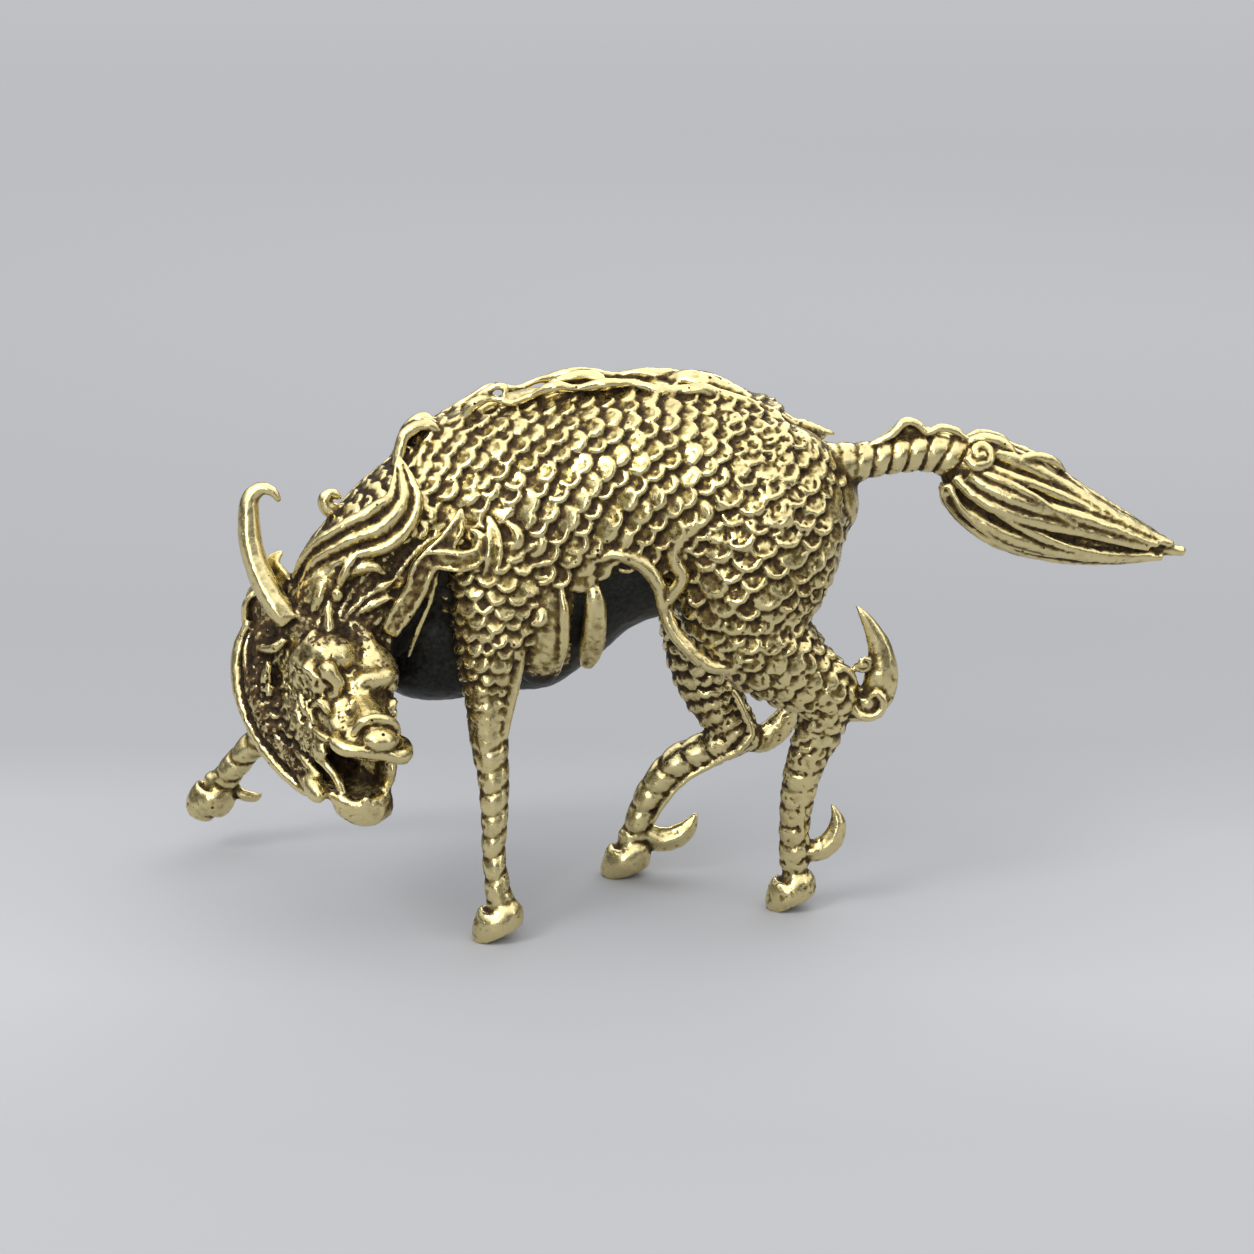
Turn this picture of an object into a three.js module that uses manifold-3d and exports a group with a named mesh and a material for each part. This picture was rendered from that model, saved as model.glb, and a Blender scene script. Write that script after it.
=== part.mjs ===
import * as THREE from 'three';
import { mergeVertices } from 'three/addons/utils/BufferGeometryUtils.js';
import Module from 'manifold-3d';

// A small qilin cast in one piece of brass: a striding, scaled, hoofed beast with its head turned
// to its left, an open mouth, one long horn, a mane of curled locks, a ruffled ridge down its
// back, hooks of flame at hocks and fetlocks, and a long fluted tail tuft held out level.

// Driving sizes, in millimetres.
const figureLength = 92;
const soleTrim = 0.45;
const scaleRise = 0.42;
const bandRise = 0.16;
const ridgeRuffle = 0.5;
const tuftFluteDepth = 0.42;
const hornFootRadius = 1.22;
const hornGrooveDepth = 0.3;

// The pose and the carving are drawn in shares: this many of them reach from the raised hoof to
// the tip of the tail. The ground is at height 0, +X runs toward the tail, +Z up.
const figureShares = 101.6;
const share = figureLength / figureShares;

// Proportions of the carving: the depth of a lock's groove and the flatness of locks, hooks and
// ribbons, each as a share of its own width.
const lockGroove = 0.42;
const lockFlatness = 0.55;
const hookFlatness = 0.7;
const ribbonFlatness = 0.7;

// How finely each kind of form is faceted.
const scaleRowsAround = 24;
const scaleRowsAlong = 21;
const ballFacets = 6;
const curlSides = 4;
const curlSteps = 8;
const brassColour = 0x9a8448;

const wasm = await Module();
wasm.setup();

const upward = [0, 0, 1];
const sideways = [0, -1, 0];
const noRelief = () => 0;

// How far a closed end stands out past its last section, as a share of its half height.
const poleBulge = 0.45;

// How quickly the flutes of the tuft reach their full depth, over its length.
const fluteFade = 1.4;

// Outlines of a section, as [sideways, upward] factors for each step around it.
const round = (angle) => [Math.sin(angle), Math.cos(angle)];

// A lock of hair in section: two ridges with a groove between them, and a keel below.
function grooved(angle) {
  const lobes = 1 - lockGroove * Math.cos(angle) ** 2 * (Math.cos(angle) > 0 ? 1 : 0);
  const swell = 1 + lockGroove * Math.sin(2 * angle) ** 2;
  return [Math.sin(angle), Math.cos(angle) * lobes * swell];
}

// Raises every second corner of a net of corners, so that the net reads as staggered scales.
function scaled(rise) {
  return (ring, side) => ((ring + side) % 2 === 0 ? rise : 0);
}

// Raised bands round a limb, a whole number of them between its two ends.
function banded(count, rise) {
  return (ring, side, along) => rise * Math.cos(2 * Math.PI * count * along);
}

// Lengthwise flutes that turn slowly about the axis and fade out at both ends.
function fluted(count, depth, turns) {
  return (ring, side, along, angle) => {
    const fade = Math.sin(Math.PI * Math.min(1, along * fluteFade));
    return depth * fade * Math.cos(count * (angle + 2 * Math.PI * turns * along));
  };
}

// A wavy edge on both sides of a flat strip.
function ruffled(count, rise) {
  return (ring, side, along, angle) => {
    const phase = 2 * Math.PI * count * along + (Math.sin(angle) > 0 ? 0 : Math.PI / 2);
    return rise * Math.sin(phase) * Math.abs(Math.sin(angle));
  };
}

// A closed body along a line of stations. A station is [x, y, z, half height, half width] in
// shares. The half height is measured toward `up`, and relief is added outward in millimetres.
function sweep(stations, { sides, rings, up = upward, relief = noRelief, outline = round }) {
  const line = new THREE.CatmullRomCurve3(stations.map(([x, y, z]) => new THREE.Vector3(x, y, z)));
  const girth = new THREE.CatmullRomCurve3(
    stations.map(([, , , tall, wide = tall]) => new THREE.Vector3(tall, wide, 0)),
  );
  const reference = new THREE.Vector3(...up);
  const positions = [];
  const indices = [];
  for (let ring = 0; ring < rings; ring += 1) {
    const along = ring / (rings - 1);
    const place = line.getUtoTmapping(along);
    const centre = line.getPoint(place).multiplyScalar(share);
    const tangent = line.getTangent(place);
    const size = girth.getPoint(place).multiplyScalar(share);
    const across = new THREE.Vector3().crossVectors(tangent, reference).normalize();
    const raised = new THREE.Vector3().crossVectors(across, tangent);
    for (let side = 0; side < sides; side += 1) {
      const angle = (2 * Math.PI * side) / sides;
      const [sideFactor, upFactor] = outline(angle);
      const point = new THREE.Vector3()
        .addScaledVector(raised, size.x * upFactor)
        .addScaledVector(across, size.y * sideFactor);
      const reach = point.length();
      point.multiplyScalar(1 + relief(ring, side, along, angle) / reach).add(centre);
      positions.push(point.x, point.y, point.z);
    }
  }
  const firstPole = line.getPoint(0).multiplyScalar(share);
  const lastPole = line.getPoint(1).multiplyScalar(share);
  firstPole.addScaledVector(line.getTangent(0), -poleBulge * stations[0][3] * share);
  lastPole.addScaledVector(line.getTangent(1), poleBulge * stations.at(-1)[3] * share);
  positions.push(...firstPole.toArray(), ...lastPole.toArray());
  const first = rings * sides;
  for (let side = 0; side < sides; side += 1) {
    const next = (side + 1) % sides;
    for (let ring = 0; ring < rings - 1; ring += 1) {
      const a = ring * sides + side;
      const b = ring * sides + next;
      // The diagonal follows the raised corners, so that each one stands up as a small pyramid.
      if ((ring + side) % 2 === 0) {
        indices.push(a, b, a + sides, b, b + sides, a + sides);
      } else {
        indices.push(a, b, b + sides, a, b + sides, a + sides);
      }
    }
    const end = (rings - 1) * sides;
    indices.push(first, next, side, first + 1, end + side, end + next);
  }
  return solid(positions, indices);
}

// A manifold solid from corner positions and triangle indices.
function solid(positions, indices) {
  return new wasm.Manifold(new wasm.Mesh({
    numProp: 3,
    vertProperties: new Float32Array(positions),
    triVerts: new Uint32Array(indices),
  }));
}

// A manifold solid from a closed three.js geometry.
function solidOf(geometry) {
  geometry.deleteAttribute('normal');
  geometry.deleteAttribute('uv');
  const welded = mergeVertices(geometry);
  return solid(welded.getAttribute('position').array, welded.getIndex().array);
}

// A ball, in shares.
function ball([x, y, z], radius) {
  const bands = Math.ceil(ballFacets / 2) + 1;
  const geometry = new THREE.SphereGeometry(radius * share, ballFacets, bands);
  geometry.translate(x * share, y * share, z * share);
  return solidOf(geometry);
}

// A curl: a ring of round section lying in the plane across `facing`, in shares.
function curl([x, y, z], radius, thickness, facing = sideways) {
  const geometry = new THREE.TorusGeometry(radius * share, thickness * share, curlSides, curlSteps);
  const turn = new THREE.Quaternion().setFromUnitVectors(
    new THREE.Vector3(0, 0, 1),
    new THREE.Vector3(...facing).normalize(),
  );
  geometry.applyQuaternion(turn);
  geometry.translate(x * share, y * share, z * share);
  return solidOf(geometry);
}

const join = (pieces) => pieces.reduce((whole, piece) => whole.add(piece));

// The same stations mirrored to the other flank. Ahead of the withers the neck bends to the left,
// and its middle plane with it.
const withers = -20;
const neckBend = 0.45;
const middleAt = (x) => Math.min(0, neckBend * (x - withers));
const mirrored = (stations) => stations.map(([x, y, z, ...sizes]) => [
  x, 2 * middleAt(x) - y, z, ...sizes,
]);

// The same stations for a limb seen from its flank: half depth first, then half width.
const sideOn = (stations) => stations.map(([x, y, z, deep, wide]) => [x, y, z, wide, deep]);

// Stations with one size each, made flatter across than they are wide.
const flattened = (stations, flatness) => stations.map(([x, y, z, wide]) => [
  x, y, z, wide * flatness, wide,
]);

// A lock of hair: a grooved blade whose face looks toward `facing`.
function lock(stations, facing = sideways, rings = 5) {
  const blade = flattened(stations, lockFlatness);
  return sweep(blade, { sides: 6, rings, up: facing, outline: grooved });
}

// A smooth ribbon lying on the flank.
function ribbon(stations, rings) {
  return sweep(stations, { sides: 4, rings, up: sideways });
}

// The barrel of the body, deep at the chest and drawn in at the loin, and the arched neck.
function trunk() {
  const barrel = [
    [-28.0, -0.8, 31.8, 5.8, 4.6],
    [-24.5, -0.5, 33.4, 11.8, 7.2],
    [-19.5, 0, 35.7, 14.6, 8.8],
    [-14.5, 0, 37.9, 13.7, 9.3],
    [-9.5, 0, 40.0, 12.3, 9.2],
    [-4.5, 0, 41.3, 11.7, 9.2],
    [0.2, 0, 41.6, 11.3, 9.3],
    [5.0, 0, 41.1, 11.0, 9.4],
    [9.6, 0, 40.6, 9.6, 9.0],
    [12.6, 0, 41.2, 7.4, 7.2],
    [15.0, 0, 42.0, 3.8, 3.6],
  ];
  const nape = [
    [-17.0, -0.4, 39.2, 11.0, 8.0],
    [-22.4, -1.2, 38.0, 10.2, 7.6],
    [-26.6, -2.8, 36.6, 8.9, 6.6],
    [-30.2, -4.8, 34.2, 7.5, 5.8],
    [-33.4, -6.6, 30.6, 6.3, 5.2],
    [-35.2, -7.8, 26.8, 5.0, 5.0],
  ];
  return [
    sweep(barrel, { sides: scaleRowsAround, rings: scaleRowsAlong, relief: scaled(scaleRise) }),
    sweep(nape, { sides: 12, rings: 8, relief: scaled(scaleRise) }),
  ];
}

// The two hind legs: a scaled thigh, a short scaled run back to the hock, and a banded shank.
function hindLegs() {
  const nearThigh = [
    [10.4, -2.6, 47.2, 4.4, 3.8],
    [8.8, -4.2, 42.6, 6.8, 5.2],
    [7.2, -5.0, 37.6, 7.4, 5.6],
    [5.8, -5.4, 32.6, 6.6, 5.2],
    [5.2, -5.6, 28.6, 4.6, 4.2],
  ];
  const nearRun = [
    [3.8, -6.0, 31.6, 4.0, 3.8],
    [7.4, -6.2, 28.8, 4.7, 4.0],
    [11.2, -6.1, 25.6, 3.9, 3.2],
    [14.6, -5.9, 23.4, 3.0, 2.6],
  ];
  const nearShank = [
    [15.0, -5.8, 24.4, 2.5, 2.4],
    [13.9, -5.6, 20.6, 2.2, 2.0],
    [12.5, -5.3, 16.9, 2.0, 1.7],
    [11.6, -5.0, 13.0, 1.75, 1.5],
    [11.3, -4.7, 9.0, 1.5, 1.35],
    [11.3, -4.6, 5.2, 1.45, 1.35],
  ];
  const farThigh = [
    [9.2, 2.8, 46.0, 5.0, 4.0],
    [7.0, 4.4, 39.8, 7.0, 5.2],
    [4.8, 5.4, 34.0, 6.6, 5.0],
    [3.0, 6.2, 28.4, 5.2, 4.0],
    [2.4, 6.4, 23.6, 3.7, 3.2],
    [3.4, 6.3, 19.8, 3.0, 2.7],
    [5.8, 6.1, 16.0, 2.3, 2.1],
  ];
  const farShank = [
    [7.0, 6.1, 15.8, 2.0, 2.0],
    [3.4, 5.9, 14.1, 1.9, 1.8],
    [0.0, 5.8, 12.6, 1.8, 1.7],
    [-2.3, 5.6, 10.3, 1.6, 1.5],
    [-3.7, 5.5, 7.8, 1.4, 1.35],
    [-4.6, 5.4, 4.9, 1.45, 1.35],
  ];
  const scaly = { up: sideways, relief: scaled(scaleRise) };
  const shank = { sides: 6, rings: 13, up: sideways, relief: banded(6, bandRise) };
  return [
    sweep(sideOn(nearThigh), { ...scaly, sides: 10, rings: 8 }),
    sweep(sideOn(nearRun), { ...scaly, sides: 8, rings: 6 }),
    sweep(sideOn(nearShank), shank),
    sweep(sideOn(farThigh), { ...scaly, sides: 8, rings: 9 }),
    sweep(sideOn(farShank), shank),
  ];
}

// The near foreleg stands straight down; the far one reaches forward and is off the ground.
function forelegs() {
  const nearShoulder = [
    [-17.3, -3.6, 43.4, 4.6, 3.2],
    [-17.7, -6.4, 37.4, 5.0, 3.9],
    [-18.3, -8.2, 31.4, 3.9, 3.4],
    [-18.8, -9.1, 27.6, 3.0, 2.8],
    [-19.0, -10.1, 22.4, 1.8, 1.8],
  ];
  const nearShank = [
    [-19.0, -9.8, 24.4, 2.6, 2.4],
    [-18.8, -10.5, 20.0, 1.95, 1.9],
    [-18.3, -11.2, 16.2, 1.5, 1.5],
    [-18.3, -11.9, 12.6, 1.3, 1.3],
    [-18.4, -12.4, 9.2, 1.1, 1.15],
    [-18.1, -12.9, 6.2, 1.2, 1.2],
    [-17.8, -13.1, 4.2, 1.35, 1.3],
  ];
  const farShoulder = [
    [-22.6, 2.6, 37.4, 5.2, 3.6],
    [-25.6, 5.6, 30.4, 4.4, 3.8],
    [-29.6, 8.0, 25.0, 3.3, 3.2],
    [-33.6, 9.4, 21.4, 2.6, 2.6],
  ];
  const farShank = [
    [-32.8, 9.2, 22.0, 2.7, 2.6],
    [-37.4, 10.4, 18.6, 2.1, 2.0],
    [-42.2, 11.4, 14.8, 1.6, 1.6],
    [-45.5, 12.0, 11.6, 1.4, 1.4],
    [-47.9, 12.4, 8.6, 1.4, 1.4],
  ];
  const scaly = { sides: 8, up: sideways, relief: scaled(scaleRise) };
  const shank = { sides: 6, up: sideways };
  return [
    sweep(sideOn(nearShoulder), { ...scaly, rings: 7 }),
    sweep(sideOn(nearShank), { ...shank, rings: 15, relief: banded(7, bandRise) }),
    sweep(sideOn(farShoulder), { ...scaly, rings: 6 }),
    sweep(sideOn(farShank), { ...shank, rings: 11, relief: banded(5, bandRise) }),
  ];
}

// A hoof: a flared cone on the pastern, cut flat below by a sole that rises toward the heel. Its
// toe stands ahead of the pastern by `lean`. The cut turns about a point just behind the toe.
function hoof([x, y, z], lean, heelRise, height) {
  const stations = [
    [x, y, z + height, 1.45, 1.35],
    [x + lean * 0.1, y, z + height * 0.72, 1.85, 1.7],
    [x + lean * 0.4, y, z + height * 0.4, 2.25, 2.0],
    [x + lean, y, z - 0.4, 2.5, 2.1],
  ];
  const body = sweep(sideOn(stations), { sides: 7, rings: 4, up: sideways });
  const behindToe = -2.2;
  const underToe = -0.1;
  const slabWidth = 12 * share;
  const slabDepth = 8 * share;
  const slab = new THREE.BoxGeometry(slabWidth, slabWidth, slabDepth);
  slab.translate(0, 0, -slabDepth / 2);
  slab.rotateY(-heelRise);
  slab.translate((x + lean + behindToe) * share, y * share, (z + underToe) * share);
  return body.subtract(solidOf(slab));
}

function hooves() {
  const lifted = THREE.MathUtils.degToRad(24);
  const tipped = THREE.MathUtils.degToRad(18);
  const height = 5.0;
  const raisedHeight = 3.8;
  return [
    hoof([-17.8, -13.2, 0], -0.7, lifted, height),
    hoof([11.3, -4.5, 0], -0.6, lifted, height),
    hoof([-5.2, 5.3, 0], -1.0, tipped, height),
    hoof([-48.9, 12.6, 4.9], -1.5, -tipped, raisedHeight),
  ];
}

// The hook of flame at each hock and the hooked dew claw at each fetlock.
function hooks() {
  const nearHock = [
    [14.8, -5.8, 22.4, 1.4],
    [17.4, -5.8, 21.9, 1.5],
    [19.5, -5.8, 23.6, 1.6],
    [19.8, -5.8, 26.4, 1.5],
    [19.5, -5.8, 28.8, 1.0],
    [18.1, -5.8, 30.9, 0.6],
    [16.9, -5.8, 32.2, 0.15],
  ];
  const nearFetlock = [
    [11.4, -4.7, 6.8, 1.1],
    [13.9, -4.7, 6.6, 1.1],
    [15.4, -4.7, 7.9, 0.9],
    [15.7, -4.7, 9.7, 0.55],
    [15.1, -4.7, 11.3, 0.15],
  ];
  const farHock = [
    [5.8, 6.2, 15.2, 1.3],
    [8.5, 6.2, 15.0, 1.5],
    [10.3, 6.2, 16.4, 1.4],
    [11.3, 6.2, 18.6, 0.9],
    [11.2, 6.2, 20.6, 0.3],
  ];
  const farFetlock = [
    [-5.0, 5.4, 4.9, 1.0],
    [-2.2, 5.4, 4.2, 1.05],
    [-0.4, 5.4, 4.8, 0.75],
    [0.7, 5.4, 5.8, 0.45],
    [1.4, 5.4, 6.9, 0.12],
  ];
  const raisedFetlock = [
    [-47.9, 12.4, 8.2, 0.8],
    [-45.9, 12.4, 6.8, 0.65],
    [-44.6, 12.4, 6.6, 0.5],
    [-44.0, 12.4, 7.0, 0.2],
  ];
  return [nearHock, nearFetlock, farHock, farFetlock, raisedFetlock].map((hook) => (
    sweep(flattened(hook, hookFlatness), { sides: 5, rings: 6, up: sideways })
  ));
}

// The ruffled ridge of hair along the back, with a flame lock at the withers and one at the loin.
function backRidge() {
  const crest = [
    [-25.9, 0, 46.2, 0.7, 1.1],
    [-22.7, 0, 48.6, 0.8, 1.5],
    [-18.9, 0, 50.6, 0.9, 1.7],
    [-12.0, 0, 52.6, 0.9, 1.9],
    [-4.2, 0, 53.4, 0.9, 2.0],
    [-0.3, 0, 53.2, 0.9, 2.1],
    [2.9, 0, 52.6, 0.9, 2.1],
    [6.1, 0, 51.6, 0.8, 1.9],
    [9.4, 0, 50.0, 0.7, 1.3],
    [12.2, 0, 48.4, 0.5, 0.8],
    [14.0, 0, 47.4, 0.3, 0.4],
  ];
  const withersFlame = [
    [-27.2, 0, 48.2, 0.3, 0.5],
    [-24.6, -0.3, 48.6, 0.55, 0.9],
    [-22.2, 0.2, 48.9, 0.3, 0.6],
    [-21.0, 0, 48.7, 0.15, 0.2],
  ];
  const loinFlame = [
    [-0.8, 0, 53.4, 0.3, 0.5],
    [1.8, -0.3, 53.8, 0.55, 0.9],
    [4.2, 0.2, 54.1, 0.3, 0.6],
    [5.4, 0, 53.9, 0.15, 0.2],
  ];
  return [
    sweep(crest, { sides: 6, rings: 20, relief: ruffled(7, ridgeRuffle) }),
    sweep(withersFlame, { sides: 5, rings: 5 }),
    sweep(loinFlame, { sides: 5, rings: 5 }),
  ];
}

// The banded tail and its fluted tuft, with curls where the tuft begins.
function tail() {
  const stem = [
    [12.6, 0, 44.2, 3.4, 3.2],
    [15.4, 0, 44.9, 2.3, 2.2],
    [18.2, 0, 45.5, 1.8, 1.8],
    [21.6, 0, 46.1, 1.8, 1.8],
    [24.8, 0, 46.3, 2.0, 1.9],
    [27.6, 0, 45.5, 2.2, 2.0],
  ];
  const tuft = [
    [26.0, 0, 45.9, 1.6, 1.4],
    [28.4, 0, 44.0, 3.9, 3.2],
    [32.3, 0, 41.7, 4.8, 4.4],
    [37.3, 0, 39.5, 4.1, 3.8],
    [42.3, 0, 37.9, 2.7, 2.6],
    [46.3, 0, 36.9, 1.3, 1.2],
    [49.2, 0, 36.3, 0.55, 0.55],
  ];
  const stemFlame = [
    [19.2, -0.2, 46.9, 0.5],
    [21.4, -0.3, 48.4, 1.0],
    [24.4, -0.2, 48.2, 1.0],
    [27.6, 0, 47.4, 0.5],
  ];
  const tuftFlame = [
    [29.6, -1.6, 46.0, 0.6],
    [32.2, -1.8, 46.5, 0.9],
    [35.2, -1.4, 45.8, 0.8],
    [37.9, -0.9, 44.9, 0.2],
  ];
  const flutes = 9;
  return [
    sweep(stem, { sides: 6, rings: 13, relief: banded(6, bandRise) }),
    sweep(tuft, { sides: 2 * flutes, rings: 7, relief: fluted(flutes, tuftFluteDepth, 0.12) }),
    ball([49.5, 0, 36.3], 0.55),
    curl([28.9, -1.9, 45.5], 1.3, 0.55, [0.2, -1, 0.5]),
    lock(stemFlame, [0, -1, 0.6]),
    lock(tuftFlame, [0, -0.6, 1]),
  ];
}

// The head has its own frame: x to its right cheek, y out of its muzzle, z up through its brow,
// with the origin between the eyes. It is turned to the left, so that the muzzle looks aside.
const muzzleWay = new THREE.Vector3(0.38, -0.874, -0.304).normalize();
const cheekWay = new THREE.Vector3(-0.896, -0.43, 0.115).normalize();
const browWay = new THREE.Vector3().crossVectors(cheekWay, muzzleWay).normalize();
const squareCheekWay = new THREE.Vector3().crossVectors(muzzleWay, browWay);
const betweenEyes = [-31.7, -13.0, 27.1];

function inHead([side, ahead, above]) {
  return new THREE.Vector3(...betweenEyes)
    .addScaledVector(squareCheekWay, side)
    .addScaledVector(muzzleWay, ahead)
    .addScaledVector(browWay, above)
    .toArray();
}
const headStations = (stations) => stations.map(([side, ahead, above, ...sizes]) => [
  ...inHead([side, ahead, above]), ...sizes,
]);
const otherCheek = (stations) => stations.map(([side, ...rest]) => [-side, ...rest]);
const browUp = browWay.toArray();

function headPiece(stations, sides, rings) {
  return sweep(headStations(stations), { sides, rings, up: browUp });
}

function head() {
  const skull = [
    [0, -13.0, -3.4, 3.6, 3.4],
    [0, -9.6, -3.4, 6.4, 5.2],
    [0, -5.8, -3.6, 6.2, 5.4],
    [0, -2.4, -3.0, 4.8, 5.0],
    [0, 0.8, -2.5, 3.5, 4.3],
    [0, 4.0, -2.6, 2.5, 3.5],
    [0, 7.0, -2.8, 1.9, 3.1],
    [0, 8.6, -2.9, 1.3, 2.4],
  ];
  const jaw = [
    [0, -5.0, -7.6, 2.6, 4.4],
    [0, 0.0, -9.0, 1.9, 4.0],
    [0, 5.0, -9.8, 1.4, 3.3],
    [0, 8.2, -10.0, 1.5, 2.8],
    [0, 9.8, -9.8, 1.1, 1.9],
  ];
  const jawLip = [
    [3.0, 3.2, -8.6, 0.5, 0.5],
    [2.7, 7.4, -8.6, 0.6, 0.6],
    [1.2, 9.8, -8.7, 0.7, 0.7],
    [-1.2, 9.8, -8.7, 0.7, 0.7],
    [-2.7, 7.4, -8.6, 0.6, 0.6],
    [-3.0, 3.2, -8.6, 0.5, 0.5],
  ];
  const upperLip = [
    [3.4, 6.4, -4.2, 0.9, 0.9],
    [3.3, 8.0, -3.9, 1.2, 1.2],
    [1.2, 9.0, -3.8, 1.2, 1.2],
    [-1.2, 9.0, -3.8, 1.2, 1.2],
    [-3.3, 8.0, -3.9, 1.2, 1.2],
    [-3.4, 6.4, -4.2, 0.9, 0.9],
  ];
  const noseFold = [
    [2.2, 6.8, -2.6, 0.6, 0.6],
    [1.4, 6.8, -1.0, 0.65, 0.65],
    [0, 6.8, -0.5, 0.7, 0.7],
    [-1.4, 6.8, -1.0, 0.65, 0.65],
    [-2.2, 6.8, -2.6, 0.6, 0.6],
  ];
  const brow = [
    [0.9, 1.2, 0.3, 0.9, 0.9],
    [2.2, 0.8, 1.4, 1.2, 1.2],
    [4.4, -1.0, 1.2, 0.9, 0.9],
  ];
  const jawFringe = [
    [5.2, -8.8, -3.4, 0.8, 0.8],
    [5.8, -8.0, -6.4, 1.2, 1.0],
    [5.4, -5.6, -9.4, 1.3, 1.0],
    [4.4, -1.6, -10.8, 1.2, 1.0],
    [3.4, 2.0, -11.4, 0.7, 0.7],
  ];
  const forehead = [
    [0, -7.6, 2.2, 1.2, 1.6],
    [0, -3.6, 1.4, 1.8, 2.2],
    [0, -0.6, 0.2, 0.9, 1.4],
  ];
  const noseRidge = [
    [0, 0.0, 0.2, 0.8, 0.9],
    [0, 3.4, -0.9, 0.8, 1.2],
    [0, 6.2, -1.4, 0.7, 1.3],
  ];
  const eyeRadius = 1.3;
  const noseRadius = 1.7;
  return [
    headPiece(skull, 10, 8),
    headPiece(jaw, 7, 6),
    headPiece(jawLip, 4, 7),
    headPiece(upperLip, 6, 7),
    headPiece(noseFold, 5, 6),
    headPiece(forehead, 6, 4),
    headPiece(noseRidge, 5, 4),
    headPiece(brow, 5, 4),
    headPiece(otherCheek(brow), 5, 4),
    headPiece(jawFringe, 4, 6),
    headPiece(otherCheek(jawFringe), 4, 6),
    ball(inHead([0, 8.3, -2.0]), noseRadius),
    ball(inHead([3.1, 1.3, 0.0]), eyeRadius),
    ball(inHead([-3.1, 1.3, 0.0]), eyeRadius),
    ...ears(),
  ];
}

// Each ear is a cup low behind the horn: a thick rim with a hollow inside it.
function ears() {
  return [1, -1].map((side) => {
    const outward = squareCheekWay.clone().multiplyScalar(side).add(muzzleWay).toArray();
    return curl(inHead([side * 5.4, -10.0, -0.4]), 1.6, 0.8, outward);
  });
}

// The one long horn sweeps back from above the right ear and hooks forward at its tip. Its foot
// stands on a short stub, and the neck between the two is thinner by the depth of a groove.
function horn() {
  const foot = hornFootRadius / share;
  const neckRadius = foot - hornGrooveDepth / share;
  const stub = [
    [-35.6, -7.5, 27.9, foot],
    [-36.7, -7.5, 29.7, foot],
  ];
  const neck = [
    [-36.2, -7.5, 28.8, neckRadius],
    [-38.0, -7.5, 31.7, neckRadius],
  ];
  const shaft = [
    [-37.4, -7.5, 30.7, foot],
    [-39.0, -7.5, 33.4, foot * 0.96],
    [-41.0, -7.3, 37.7, foot * 0.89],
    [-41.9, -7.1, 41.8, foot * 0.74],
    [-41.4, -7.0, 43.9, foot * 0.59],
    [-40.2, -7.0, 44.4, foot * 0.44],
    [-38.7, -7.2, 43.3, foot * 0.19],
  ];
  const footed = { sides: 6, rings: 2, up: sideways };
  return [sweep(stub, footed), sweep(neck, footed), sweep(shaft, { ...footed, rings: 13 })];
}

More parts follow.
